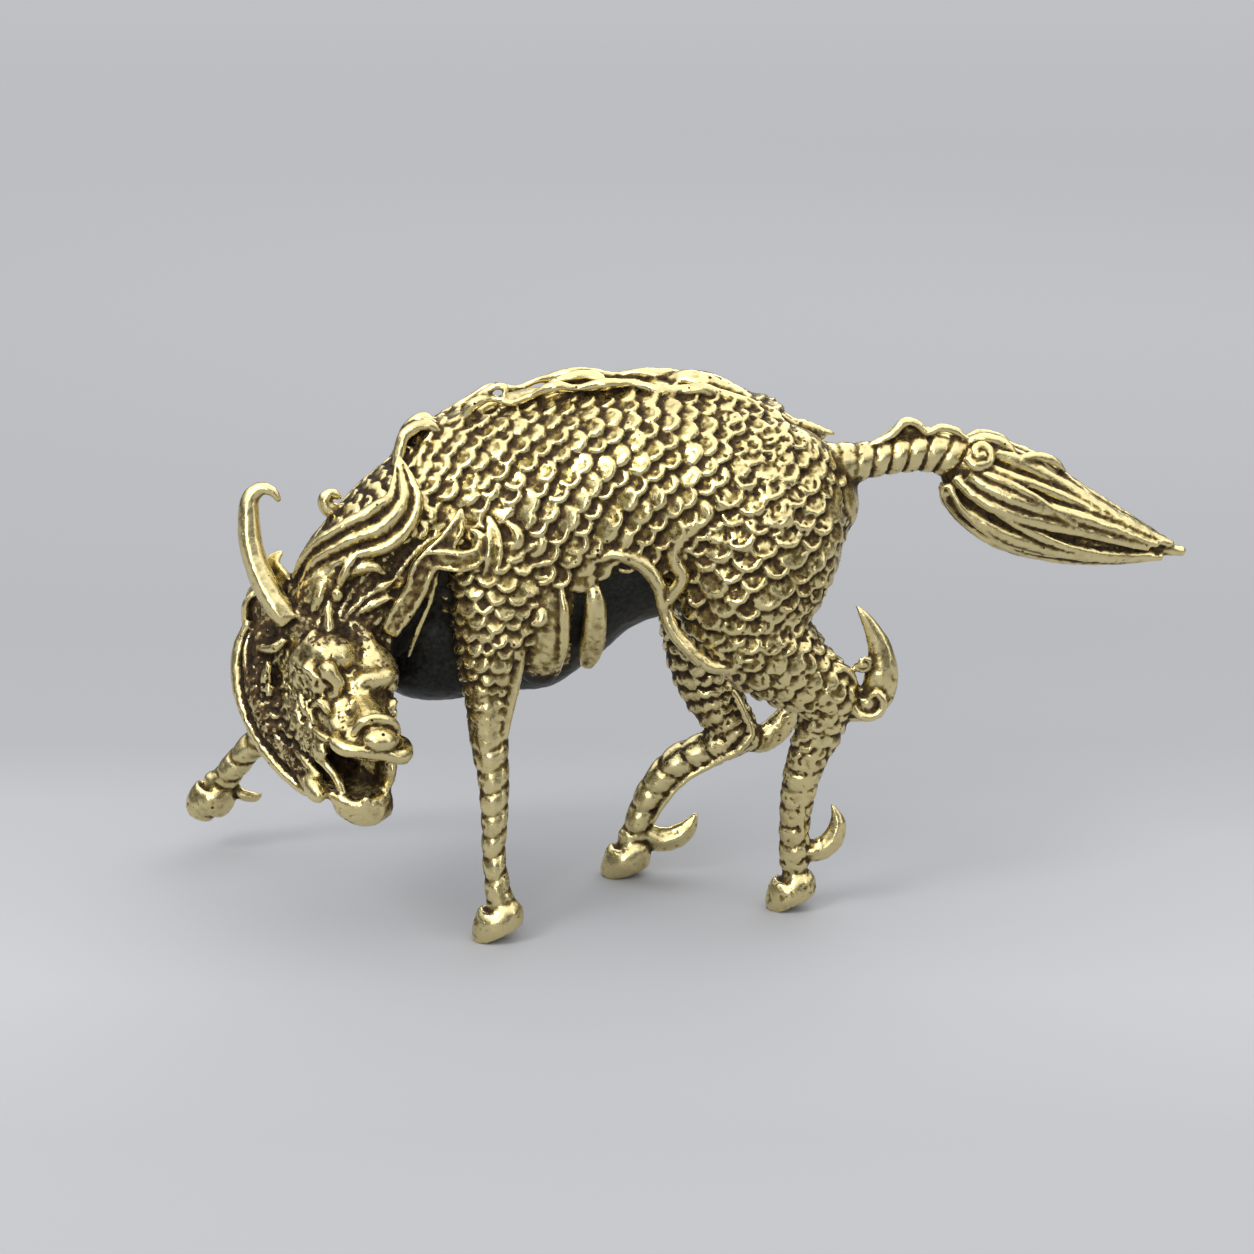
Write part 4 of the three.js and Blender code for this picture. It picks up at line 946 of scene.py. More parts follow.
    def _piece(self, stations: Stations, section: Section = Section.ROUND, up: Station = UP,
               flatness: float = 1.0) -> Shell:
        """One feature of the head, drawn in the head's frame."""
        rows = stations if len(stations[0]) > 4 else flattened(stations, flatness)
        placed = self.turned.place(rows)
        return Loft(placed, up=self.turned.way(up), section=section, facet=0.2).shell()

    def _egg(self, centre: Station, radii: Station) -> Shell:
        """An egg in the head's frame, with its half sizes to the side, ahead and above."""
        wide, long, tall = radii
        lean = np.radians([-60, -30, 0, 30, 60])
        side, ahead, above = centre
        stations = [
            (side, ahead + long * math.sin(a), above, tall * math.cos(a), wide * math.cos(a))
            for a in lean
        ]
        return Loft(self.turned.place(stations), up=self.turned.way(UP), facet=0.22, bulge=0.3).shell()

    def flesh(self) -> list[Shell]:
        """Skull, jaw and cheeks."""
        plain = [
            self.skull, self.jaw, self.cheek, other_cheek(self.cheek), self.forehead, self.nose,
            self.brow_strap, self.far_brow, self.eye_lobe, self.low_lobe, self.chin, self.temple_lobe,
            other_cheek(self.temple_lobe), self.far_lid, self.jaw_lip, self.jaw_web,
        ]
        made = [self._piece(stations) for stations in plain]
        bulges = (
            ((3, 0.7, -0.2), (1.5, 1.4, 1.3)),
            ((-3, 0.7, -0.2), (1.35, 1.3, 1.2)),
            ((2, -1.3, 1.7), (2.5, 2.3, 2)),
            ((-2.4, -0.6, 1.2), (1.9, 2.2, 1.5)),
            ((3.4, 3.2, -5.6), (0.8, 2.4, 1.4)),
            ((-3.2, 4.6, -6.2), (0.8, 1.8, 1.8)),
            ((5.6, -10.8, 0.4), (1.1, 2.4, 2.4)),
            ((-5, -10.6, 0.2), (1.1, 2.2, 2.2)),
            ((3.9, 5.5, -9), (1, 2.4, 1.2)),
            ((-2.6, 6.4, -6.2), (0.8, 2, 2.8)),
            ((-1, 1.4, -6.5), (2.6, 2.4, 1.6)),
            ((-1.9, 4.4, -7.3), (1.3, 1.3, 1.9)),
            ((-0.7, 7.8, -10), (2.3, 1.9, 1.7)),
            ((-2.5, 7.5, -9.8), (1.2, 1.7, 1.3)),
            ((1.1, 7.5, -9.8), (1.2, 1.9, 1.3)),
            ((6, -13, 0.2), (0.7, 2.2, 2.2)),
            ((-6, -13, 0.2), (0.7, 2.2, 2.2)),
            ((4.3, -2.2, -0.6), (1.2, 2.2, 1.6)),
            ((-4.3, -2.2, -0.6), (1.2, 2.2, 1.6)),
        )
        return made + [self._egg(centre, radii) for centre, radii in bulges]

    def scales(self) -> list[ScaleRows]:
        """Small worn lumps all over the cheeks, that lie every way."""
        rows = []
        for cheek in (self.cheek, other_cheek(self.cheek)):
            form = Loft(self.turned.place(cheek), up=self.turned.way(UP))
            rows.append(ScaleRows(form, 1.2, self.turned.way((0.0, 1.0, -0.4)), worn=1.6, size=1.0))
        temple = Loft(self.turned.place(self.skull[1:5]), up=self.turned.way(UP))
        rows.append(ScaleRows(temple, 1.4, self.turned.way((0.0, 1.0, -0.4)), worn=0.9, size=0.9))
        return rows

    def carving(self) -> list[Shell]:
        """Features of the face, ears, beard and cheeks."""
        out = (1.0, 0.2, 0.0)
        paired = [self.lid_point, self.jaw_edge, self.tusk]
        single = [self.eye_drop, self.nose_fold, self.upper_lip, self.mouth_edge]
        made = [self._piece(stations) for stations in single]
        for stations in paired:
            made += [self._piece(stations), self._piece(other_cheek(stations))]
        for stations in (*self.fringe, self.beard_strap):
            made.append(self._piece(stations, Section.BLADE, out, 0.6))
            made.append(self._piece(other_cheek(stations), Section.BLADE, (-1.0, 0.2, 0.0), 0.6))
        made += [self._piece(self.ear), self._piece(other_cheek(self.ear))]
        for stations in self.cheek_flecks:
            made += [self._piece(stations), self._piece(other_cheek(stations))]
        for side, ahead, above, reach in self.cheek_curls:
            for cheek in (1.0, -1.0):
                centre = self.turned.place([(side * cheek, ahead, above)])[0]
                made.append(ring(centre, reach, 0.34, self.turned.way((cheek, 0.25, 0.1))))
        made += [
            self._egg((-0.25, 8.9, -1.4), (1.75, 1.3, 1.1)),
            self._egg((-3.3, 1.9, 0.1), (0.7, 0.6, 0.6)),
            self._egg((0.1, 9.3, -8.0), (0.4, 0.4, 0.5)),
        ]
        return made


@dataclass
class Horn:
    """The one long horn, hooked forward at its tip, on a short stub with a gap of shadow between."""

    stub: Stations = ((-35.2, -9, 28.6, 1.5), (-36.3, -9.8, 30.4, 1.35), (-36.9, -10.1, 31.3, 1.2))
    neck: Stations = ((-36, -9.4, 29.8, 0.75), (-38.4, -10.2, 32.8, 0.75))
    shaft: Stations = (
        (-37.9, -10.4, 32, 1.28), (-38.5, -10.4, 32.8, 1.28), (-39.5, -10.1, 34.2, 1.26),
        (-40.6, -9.5, 36.3, 1.22), (-41.4, -8.9, 38.6, 1.16), (-41.7, -8.4, 41.5, 1.04),
        (-41.4, -8, 43.6, 0.84), (-40.3, -8.1, 44.4, 0.62), (-39.2, -8.3, 44, 0.46),
        (-38.7, -8.4, 43.2, 0.28),
    )

    @staticmethod
    def _faceted(along: np.ndarray, angle: np.ndarray) -> np.ndarray:
        """One soft ridge runs up the face of the horn and fades toward the hook."""
        ridge = np.exp(-((np.mod(angle + math.pi + 0.3, 2 * math.pi) - math.pi) / 0.35) ** 2)
        return 0.12 * ridge * np.clip(1.3 - along * 1.3, 0, 1)

    def carving(self) -> list[Shell]:
        """Stub, neck and shaft."""
        return [
            Loft(self.stub, up=NEAR, bulge=0.1, facet=0.2).shell(),
            Loft(self.neck, up=NEAR, facet=0.2).shell(),
            Loft(self.shaft, up=NEAR, relief=self._faceted, bulge=0.05, facet=0.2).shell(),
        ]


@dataclass
class Mane:
    """A broad leaf of hair behind the horn, smaller leaves, ribbons at the shoulder and curls."""

    broad_leaf: Stations = (
        (-36.9, -8.6, 35.4, 1), (-35, -9.6, 37.8, 1.7), (-31.8, -10.4, 39.8, 2.1),
        (-28.6, -10.2, 41.2, 2.5), (-26.8, -9.2, 43.2, 2), (-26.9, -7.8, 45.4, 1.1),
        (-27.4, -6.8, 47.2, 0.25),
    )
    forked_ribbon: Stations = (
        (-28.2, -10.4, 30.8, 0.9), (-26.9, -10.4, 33, 1.15), (-25.6, -10.4, 35, 1.1),
        (-25, -10.3, 36.9, 1.2), (-23.9, -10.2, 38.2, 1.2), (-22.6, -10, 39.6, 1),
        (-21.6, -9.8, 41.2, 0.75), (-21.2, -9.6, 42.8, 0.22),
    )
    fork: Stations = (
        (-24.6, -10.2, 38, 0.9), (-22.6, -10.5, 38, 1.1), (-20.9, -10.6, 37.9, 1.05),
        (-19.6, -10.5, 38.5, 0.85), (-19.2, -10.2, 39.5, 0.6), (-19.7, -10, 40.4, 0.42),
        (-20.5, -9.9, 40.8, 0.22),
    )
    ribbon_rim: Stations = (
        (-23.6, -10.1, 37.4, 0.34), (-23.9, -10.1, 35.6, 0.34), (-24.3, -10, 33.8, 0.32),
        (-25, -9.8, 32.1, 0.3), (-25.8, -9.6, 30.2, 0.28), (-26.6, -8.8, 28, 0.22),
    )
    curled_lock: Stations = (
        (-18.7, -9.4, 42, 0.25), (-18.2, -10, 40.6, 0.66), (-18, -10.4, 39, 0.82),
        (-18.3, -10.6, 37.4, 0.72), (-19, -10.6, 36, 0.3),
    )
    second_curl: Stations = (
        (-17, -9.2, 41.4, 0.25), (-16.1, -9.7, 40.7, 0.55), (-15.8, -9.9, 39.7, 0.62),
        (-16.6, -10, 38.7, 0.4),
    )
    withers_lock: Stations = (
        (-27.6, -4.4, 45.4, 0.5), (-27.5, -3.9, 47, 0.6), (-27, -3.5, 48.6, 0.62),
        (-25.7, -3.2, 49.5, 0.6), (-24.3, -3.2, 49.5, 0.5), (-23.6, -3.2, 48.8, 0.3),
    )
    nape_lock: Stations = (
        (-31.6, -5.6, 40.6, 0.9), (-33.4, -5.2, 41.4, 0.8), (-34.4, -5.2, 41.8, 0.8),
        (-34.7, -5.2, 42.7, 0.66), (-34, -5.2, 43.3, 0.5), (-33.2, -5.2, 42.8, 0.3),
    )
    poll_lock: Stations = (
        (-36.6, -7.4, 33.4, 0.9), (-38.6, -7.4, 35, 1), (-39.7, -7, 36.8, 0.8),
        (-38.8, -6.8, 37.9, 0.25),
    )
    petals: tuple[Stations, ...] = (
        (
            (-33.2, -11.4, 34.8, 0.3), (-32.5, -11.7, 36.6, 0.45), (-31.9, -11.7, 37.8, 0.42),
            (-31.1, -11.5, 38.5, 0.15),
        ),
        (
            (-32.4, -10.9, 36.2, 0.4), (-31.1, -11.3, 37.2, 0.66), (-29.7, -11.3, 37.5, 0.62),
            (-28.5, -10.8, 36.7, 0.2),
        ),
        (
            (-34, -10.6, 36.6, 0.4), (-34.6, -11.2, 35.2, 0.6), (-35, -11.4, 33.9, 0.5),
            (-35.8, -11.2, 32.5, 0.2),
        ),
        ((-33.9, -11.4, 34.2, 0.2), (-33.9, -12, 32.8, 0.4), (-33.8, -12.3, 31.5, 0.5)),
        ((-30, -10.4, 34.6, 0.3), (-28.8, -10.6, 35.4, 0.5), (-27.6, -10.4, 36, 0.2)),
        (
            (-31.6, -10.6, 32.6, 0.3), (-30.2, -10.9, 33.4, 0.5), (-28.9, -10.8, 34, 0.4),
            (-27.9, -10.4, 34.2, 0.2),
        ),
    )
    fan_upper: Stations = (
        (-31, -9.8, 39.3), (-33.6, -9.9, 38.6), (-35.6, -9.8, 37), (-36.9, -9.6, 35),
        (-37.2, -9.4, 33),
    )
    fan_lower: Stations = (
        (-31.6, -10.6, 37.4), (-33, -11, 36), (-34.3, -11.2, 34.6), (-35.2, -11.2, 33),
        (-35.7, -11, 31.4),
    )
    fan_strands: int = 9
    fan_thick: float = 0.27
    outer_throat: Stations = (
        (-42.3, -6.6, 30.8, 0.4), (-43.1, -6.7, 28.8, 0.6), (-43.5, -7.2, 26.5, 0.7),
        (-43.2, -8.2, 24.2, 0.66), (-42.1, -10, 21.6, 0.6), (-40.4, -11.8, 19.2, 0.55),
        (-38.3, -13.2, 17.2, 0.5), (-36.4, -14.3, 16, 0.45), (-35, -15, 15.9, 0.3),
    )
    inner_throat: Stations = (
        (-41.9, -7.4, 30.2, 0.2), (-42.4, -8.4, 28.4, 0.32), (-42.2, -9.2, 26.4, 0.36),
        (-41.4, -10, 24.6, 0.32), (-40.8, -10.8, 23.2, 0.2),
    )
    jowl: Stations = (
        (-40.2, -7, 30, 1.6, 1.6), (-40.8, -7.6, 27.4, 1.7, 1.8), (-40.5, -8.7, 24.6, 1.9, 2.1),
        (-39.3, -10.6, 21.6, 1.8, 2), (-37.4, -12.4, 19.2, 1.4, 1.6), (-35.8, -13.6, 17.6, 1, 1.2),
    )
    brow_bead: Station = (-33.0, -12.2, 34.9)

    def flesh(self) -> list[Shell]:
        """The jowl that the throat locks lie on."""
        return [Loft(self.jowl, up=NEAR).shell()]

    def _fan(self) -> list[Shell]:
        """Fine strands spread evenly between two guide lines."""
        upper, lower = np.array(self.fan_upper), np.array(self.fan_lower)
        made = []
        for share in np.linspace(0, 1, self.fan_strands):
            line = upper * (1 - share) + lower * share
            line[:, 1] -= 0.4 * math.sin(math.pi * share)
            line = [(*place, self.fan_thick) for place in line]
            made.append(lock(line, NEAR, Section.ROUND, 1.2))
        return made

    def carving(self) -> list[Shell]:
        """All locks of the near side, and the larger ones again on the far side."""
        slant = (-0.3, -1.0, 0.4)
        near = [
            (self.forked_ribbon, NEAR, Section.CUP, 0.6),
            (self.fork, NEAR, Section.CUP, 0.65),
            (self.ribbon_rim, NEAR, Section.ROUND, 1.0),
            (self.curled_lock, NEAR, Section.CUP, 0.8),
            (self.second_curl, NEAR, Section.ROUND, 0.8),
            (self.withers_lock, slant, Section.ROUND, 0.8),
            (self.nape_lock, slant, Section.ROUND, 0.8),
            (self.poll_lock, slant, Section.CUP, 0.6),
            (self.outer_throat, (-0.7, -1, 0.1), Section.ROUND, 0.9),
            (self.inner_throat, (-0.7, -1, 0.1), Section.ROUND, 1.0),
            *((petal, NEAR, Section.BLADE, 0.9) for petal in self.petals),
        ]
        far = [self.broad_leaf, self.withers_lock, self.forked_ribbon]
        made = [lock(self.broad_leaf, (0, -1, 0.25), Section.LEAF, 0.6)]
        made += [lock(*each) for each in near]
        made += self._fan()
        made += [lock(mirrored(stations), (-0.3, 1, 0.4), Section.LEAF) for stations in far]
        made.append(spiral((-19.5, -9.7, 39.2), 1.2, 0.42, NEAR, 230.0))
        return made + [ball(self.brow_bead, (0.54, 0.54, 0.72))]


@dataclass
class Flanks:
    """The ribbons that meet ahead of each thigh, and the plates that hang under the chest."""

    front_ribbon: Stations = (
        (-9.4, -8.9, 37.1, 0.56), (-6.6, -9.1, 38.2, 0.75), (-4.2, -9.1, 37.3, 0.81),
        (-2.5, -8.9, 35.3, 0.81), (-1.9, -8.8, 33, 0.75), (-1.2, -9, 31, 0.75),
        (0.4, -9.5, 29, 0.75), (2.6, -9.7, 27.2, 0.69), (5.6, -9.3, 26.6, 0.5),
    )
    rear_ribbon: Stations = (
        (1.9, -9.6, 41.5, 0.5), (0.3, -9.2, 40.1, 0.69), (-0.8, -9.1, 38.7, 0.75),
        (-0.7, -9.1, 37.2, 0.78), (-0.1, -9.1, 35.9, 0.75), (-0.9, -9, 34.4, 0.69),
        (-1.7, -8.8, 33.2, 0.69), (-1.8, -8.7, 31.6, 0.5),
    )
    front_plate: Stations = (
        (-11.8, -9.2, 35, 0.25), (-11.5, -9.5, 33, 0.5), (-11.5, -9.3, 30.4, 0.6),
        (-11.9, -8.6, 28, 0.6), (-12.7, -7.4, 26, 0.4),
    )
    rear_plate: Stations = (
        (-8.7, -8.6, 35.6, 0.4), (-8.5, -8.9, 33.6, 1), (-8.6, -8.2, 30.6, 1.2),
        (-9, -7, 28, 1.2), (-9.4, -6.2, 26.4, 0.8),
    )

    def carving(self) -> list[Shell]:
        """Ribbons and plates of both flanks."""
        made = []
        for side, facing in ((list, NEAR), (mirrored, FAR)):
            made += [
                lock(side(self.front_ribbon), facing, Section.BLADE, 0.75),
                lock(side(self.rear_ribbon), facing, Section.BLADE, 0.75),
                lock(side(self.front_plate), facing, Section.ROUND, 0.9),
                lock(side(self.rear_plate), facing, Section.ROUND, 0.7),
            ]
        return made


def mesh_object(name: str, shell: Shell) -> bpy.types.Object:
    """Makes a Blender object of a shell, still in shares.

    Args:
        name: Name of the object and its mesh.
        shell: The faces.

    Returns:
        The object, linked to the scene.
    """
    mesh = bpy.data.meshes.new(name)
    loops = np.concatenate([shell.quads.ravel(), shell.tris.ravel()]).astype(np.int32)
    sizes = np.concatenate([np.full(len(shell.quads), 4), np.full(len(shell.tris), 3)])
    starts = np.concatenate([[0], np.cumsum(sizes)[:-1]]) if len(sizes) else np.empty(0)
    mesh.vertices.add(len(shell.points))
    mesh.vertices.foreach_set("co", shell.points.astype(np.float32).ravel())
    mesh.loops.add(len(loops))
    mesh.loops.foreach_set("vertex_index", loops)
    mesh.polygons.add(len(sizes))
    mesh.polygons.foreach_set("loop_start", starts.astype(np.int32))
    mesh.update(calc_edges=True)
    mesh.validate()
    obj = bpy.data.objects.new(name, mesh)
    bpy.context.scene.collection.objects.link(obj)
    return obj


def evaluated_mesh(obj: bpy.types.Object) -> bpy.types.Mesh:
    """Gives a plain copy of an object's mesh as its modifiers leave it."""
    graph = bpy.context.evaluated_depsgraph_get()
    return bpy.data.meshes.new_from_object(obj.evaluated_get(graph))


def settle(obj: bpy.types.Object) -> bpy.types.Object:
    """Turns an object's modifiers into plain mesh."""
    mesh = evaluated_mesh(obj)
    obj.modifiers.clear()
    old, obj.data = obj.data, mesh
    bpy.data.meshes.remove(old)
    return obj


def poured(name: str, shells: Sequence[Shell], voxel: float) -> bpy.types.Object:
    """Pours one closed skin over overlapping shells.

    Args:
        name: Name of the object.
        shells: The forms under the skin.
        voxel: Grain of the skin, in shares.

    Returns:
        The object, still in shares.
    """
    obj = mesh_object(name, gathered(shells))
    pour = obj.modifiers.new("Pour", "REMESH")
    pour.mode, pour.voxel_size = "VOXEL", voxel
    return settle(obj)


def points_of(mesh: bpy.types.Mesh) -> np.ndarray:
    """Reads the corners of a mesh."""
    points = np.empty(len(mesh.vertices) * 3, np.float32)
    mesh.vertices.foreach_get("co", points)
    return points.reshape(-1, 3).astype(float)


def move_to(mesh: bpy.types.Mesh, points: np.ndarray) -> None:
    """Moves the corners of a mesh to new places."""
    mesh.vertices.foreach_set("co", points.astype(np.float32).ravel())
    mesh.update()


def mark(mesh: bpy.types.Mesh, name: str, values: np.ndarray) -> None:
    """Keeps one number for each corner of a mesh, under a name that nodes can read."""
    kept = mesh.attributes.new(name, "FLOAT", "POINT")
    kept.data.foreach_set("value", values.astype(np.float32))


def nearest(corners: np.ndarray, points: np.ndarray) -> np.ndarray:
    """Finds the number of the corner nearest to each point."""
    lookup = KDTree(len(corners))
    for number, corner in enumerate(corners):
        lookup.insert(corner, number)
    lookup.balance()
    return np.array([lookup.find(point)[1] for point in points])


def edges_of(mesh: bpy.types.Mesh) -> np.ndarray:
    """Reads the edges of a mesh as pairs of corners."""
    edges = np.empty(len(mesh.edges) * 2, np.int32)
    mesh.edges.foreach_get("vertices", edges)
    return edges.reshape(-1, 2)


def relaxed(points: np.ndarray, edges: np.ndarray, rounds: int, pull: float = 0.6) -> np.ndarray:
    """Evens corners out toward the middle of their neighbours.

    Args:
        points: Corners.
        edges: Pairs of neighbours.
        rounds: How often.
        pull: How far a corner moves each time, from 0 to 1.

    Returns:
        The corners moved.
    """
    ends = np.concatenate([edges[:, 0], edges[:, 1]])
    others = np.concatenate([edges[:, 1], edges[:, 0]])
    count = np.bincount(ends, minlength=len(points)).astype(float)[:, None]
    for _ in range(rounds):
        sums = [np.bincount(ends, column[others], len(points)) for column in points.T]
        points = points + pull * (np.column_stack(sums) / count - points)
    return points


def shell_of(mesh: bpy.types.Mesh) -> Shell:
    """Reads a mesh of quads and triangles back as a shell."""
    corners = np.empty(len(mesh.loops), np.int32)
    mesh.loops.foreach_get("vertex_index", corners)
    totals = np.empty(len(mesh.polygons), np.int32)
    mesh.polygons.foreach_get("loop_total", totals)
    starts = np.cumsum(totals) - totals
    quads = corners[starts[totals == 4][:, None] + np.arange(4)]
    tris = corners[starts[totals == 3][:, None] + np.arange(3)]
    return Shell(points_of(mesh), quads, tris)


def add_node(tree: bpy.types.NodeTree, kind: str, inputs: dict | None = None,
             **settings: object) -> bpy.types.Node:
    """Adds a node with its settings, and fills or links its inputs.

    Args:
        tree: The tree it goes in.
        kind: Blender's name of the node type.
        inputs: Values, sockets or nodes by the input's name or place. A node gives its first output.
        settings: Properties of the node.

    Returns:
        The node.
    """
    node = tree.nodes.new(kind)
    for name, value in settings.items():
        setattr(node, name, value)
    for name, value in (inputs or {}).items():
        if isinstance(value, bpy.types.Node):
            value = value.outputs[0]
        if isinstance(value, bpy.types.NodeSocket):
            tree.links.new(value, node.inputs[name])
        else:
            node.inputs[name].default_value = value
    return node


def input_name(size: str) -> str:
    """Turns the name of a dataclass field to that of the tree's input for it."""
    return size.replace("_", " ").capitalize()


def open_tree(name: str, sizes: object, **sockets: str) -> bpy.types.NodeTree:
    """Starts a Geometry Nodes tree with a named input for each thing and each size.

    Args:
        name: Name of the tree.
        sizes: A dataclass whose numbers become inputs.
        sockets: Kinds of the other inputs, by name.

    Returns:
        The tree, with one output for its mesh.
    """
    tree = bpy.data.node_groups.new(name, "GeometryNodeTree")
    for size in fields(sizes):
        sockets[size.name] = "Int" if isinstance(getattr(sizes, size.name), int) else "Float"
    for label, kind in (sockets | {"finish": "Material"}).items():
        tree.interface.new_socket(input_name(label), in_out="INPUT", socket_type=f"NodeSocket{kind}")
    tree.interface.new_socket("Mesh", in_out="OUTPUT", socket_type="NodeSocketGeometry")
    return tree


def close_tree(tree: bpy.types.NodeTree, shape: bpy.types.Node, finish: bpy.types.NodeSocket) -> None:
    """Ends a tree with its instances made real and its material set."""
    real = add_node(tree, "GeometryNodeRealizeInstances", {0: shape})
    dressed = add_node(tree, "GeometryNodeSetMaterial", {"Geometry": real, "Material": finish})
    add_node(tree, "NodeGroupOutput", {0: dressed})


def run_tree(obj: bpy.types.Object, tree: bpy.types.NodeTree, sizes: object, **given: object) -> None:
    """Puts a tree on an object and sets its inputs by their identifiers.

    Args:
        obj: The object that the tree works on.
        tree: The tree.
        sizes: The dataclass whose numbers it takes.
        given: Values of the other inputs, by name.
    """
    modifier = obj.modifiers.new(tree.name, "NODES")
    modifier.node_group = tree
    given |= {size.name: getattr(sizes, size.name) for size in fields(sizes)}
    values = {input_name(label): value for label, value in given.items()}
    for item in tree.interface.items_tree:
        if item.in_out == "INPUT" and item.name in values:
            modifier[item.identifier] = values[item.name]


class PlateKind(Enum):
    """How much of a scale the caster's file has left."""

    RIMMED = 0
    DOMED = 1
    WORN = 2


@dataclass
class ScalePlate:
    """One scale, one share wide to each side, with its rim toward +X and its back sunk in."""

    kind: PlateKind

    def shell(self) -> Shell:
        """Skins the scale as a low dish with a thick rim."""
        sides = 14
        angle = np.linspace(0, 2 * math.pi, sides, endpoint=False)
        rear = 0.5 + 0.5 * np.cos(angle)
        profile = {
            PlateKind.RIMMED: (
                (0.0, 0.12, 0.0), (0.42, 0.12, 0.01), (0.62, 0.09, 0.05), (0.8, 0.11, 0.27),
                (1, 0.03, 0.18), (1.02, -0.7, -0.3),
            ),
            PlateKind.DOMED: (
                (0.0, 0.18, 0.02), (0.42, 0.17, 0.04), (0.66, 0.13, 0.08), (0.82, 0.11, 0.22),
                (1, 0.02, 0.15), (1.02, -0.7, -0.3),
            ),
            PlateKind.WORN: (
                (0.0, 0.18, 0.0), (0.42, 0.17, 0.02), (0.66, 0.14, 0.05), (0.84, 0.1, 0.12),
                (1, -0.03, 0.07), (1.02, -0.7, -0.3),
            ),
        }[self.kind]
        rows = []
        for reach, level, rim in profile[1:]:
            height = level + rim * rear**1.3
            forward = reach * np.cos(angle) * (0.94 + 0.1 * rear)
            rows.append(np.column_stack([forward, reach * np.sin(angle), height]))
        net = np.array(rows)
        corner = np.arange(len(rows) * sides).reshape(len(rows), sides)
        after = np.roll(corner, -1, axis=1)
        quads = np.stack([corner[:-1], corner[1:], after[1:], after[:-1]], 2).reshape(-1, 4)
        top, bottom = len(rows) * sides, len(rows) * sides + 1
        tris = np.vstack([
            np.column_stack([np.full(sides, top), corner[0], after[0]]),
            np.column_stack([np.full(sides, bottom), after[-1], corner[-1]]),
        ])
        ends = np.array([[0, 0, profile[0][1] + 0.4 * profile[0][2]], [0, 0, -0.7]])
        return Shell(np.vstack([net.reshape(-1, 3), ends]), quads, tris)


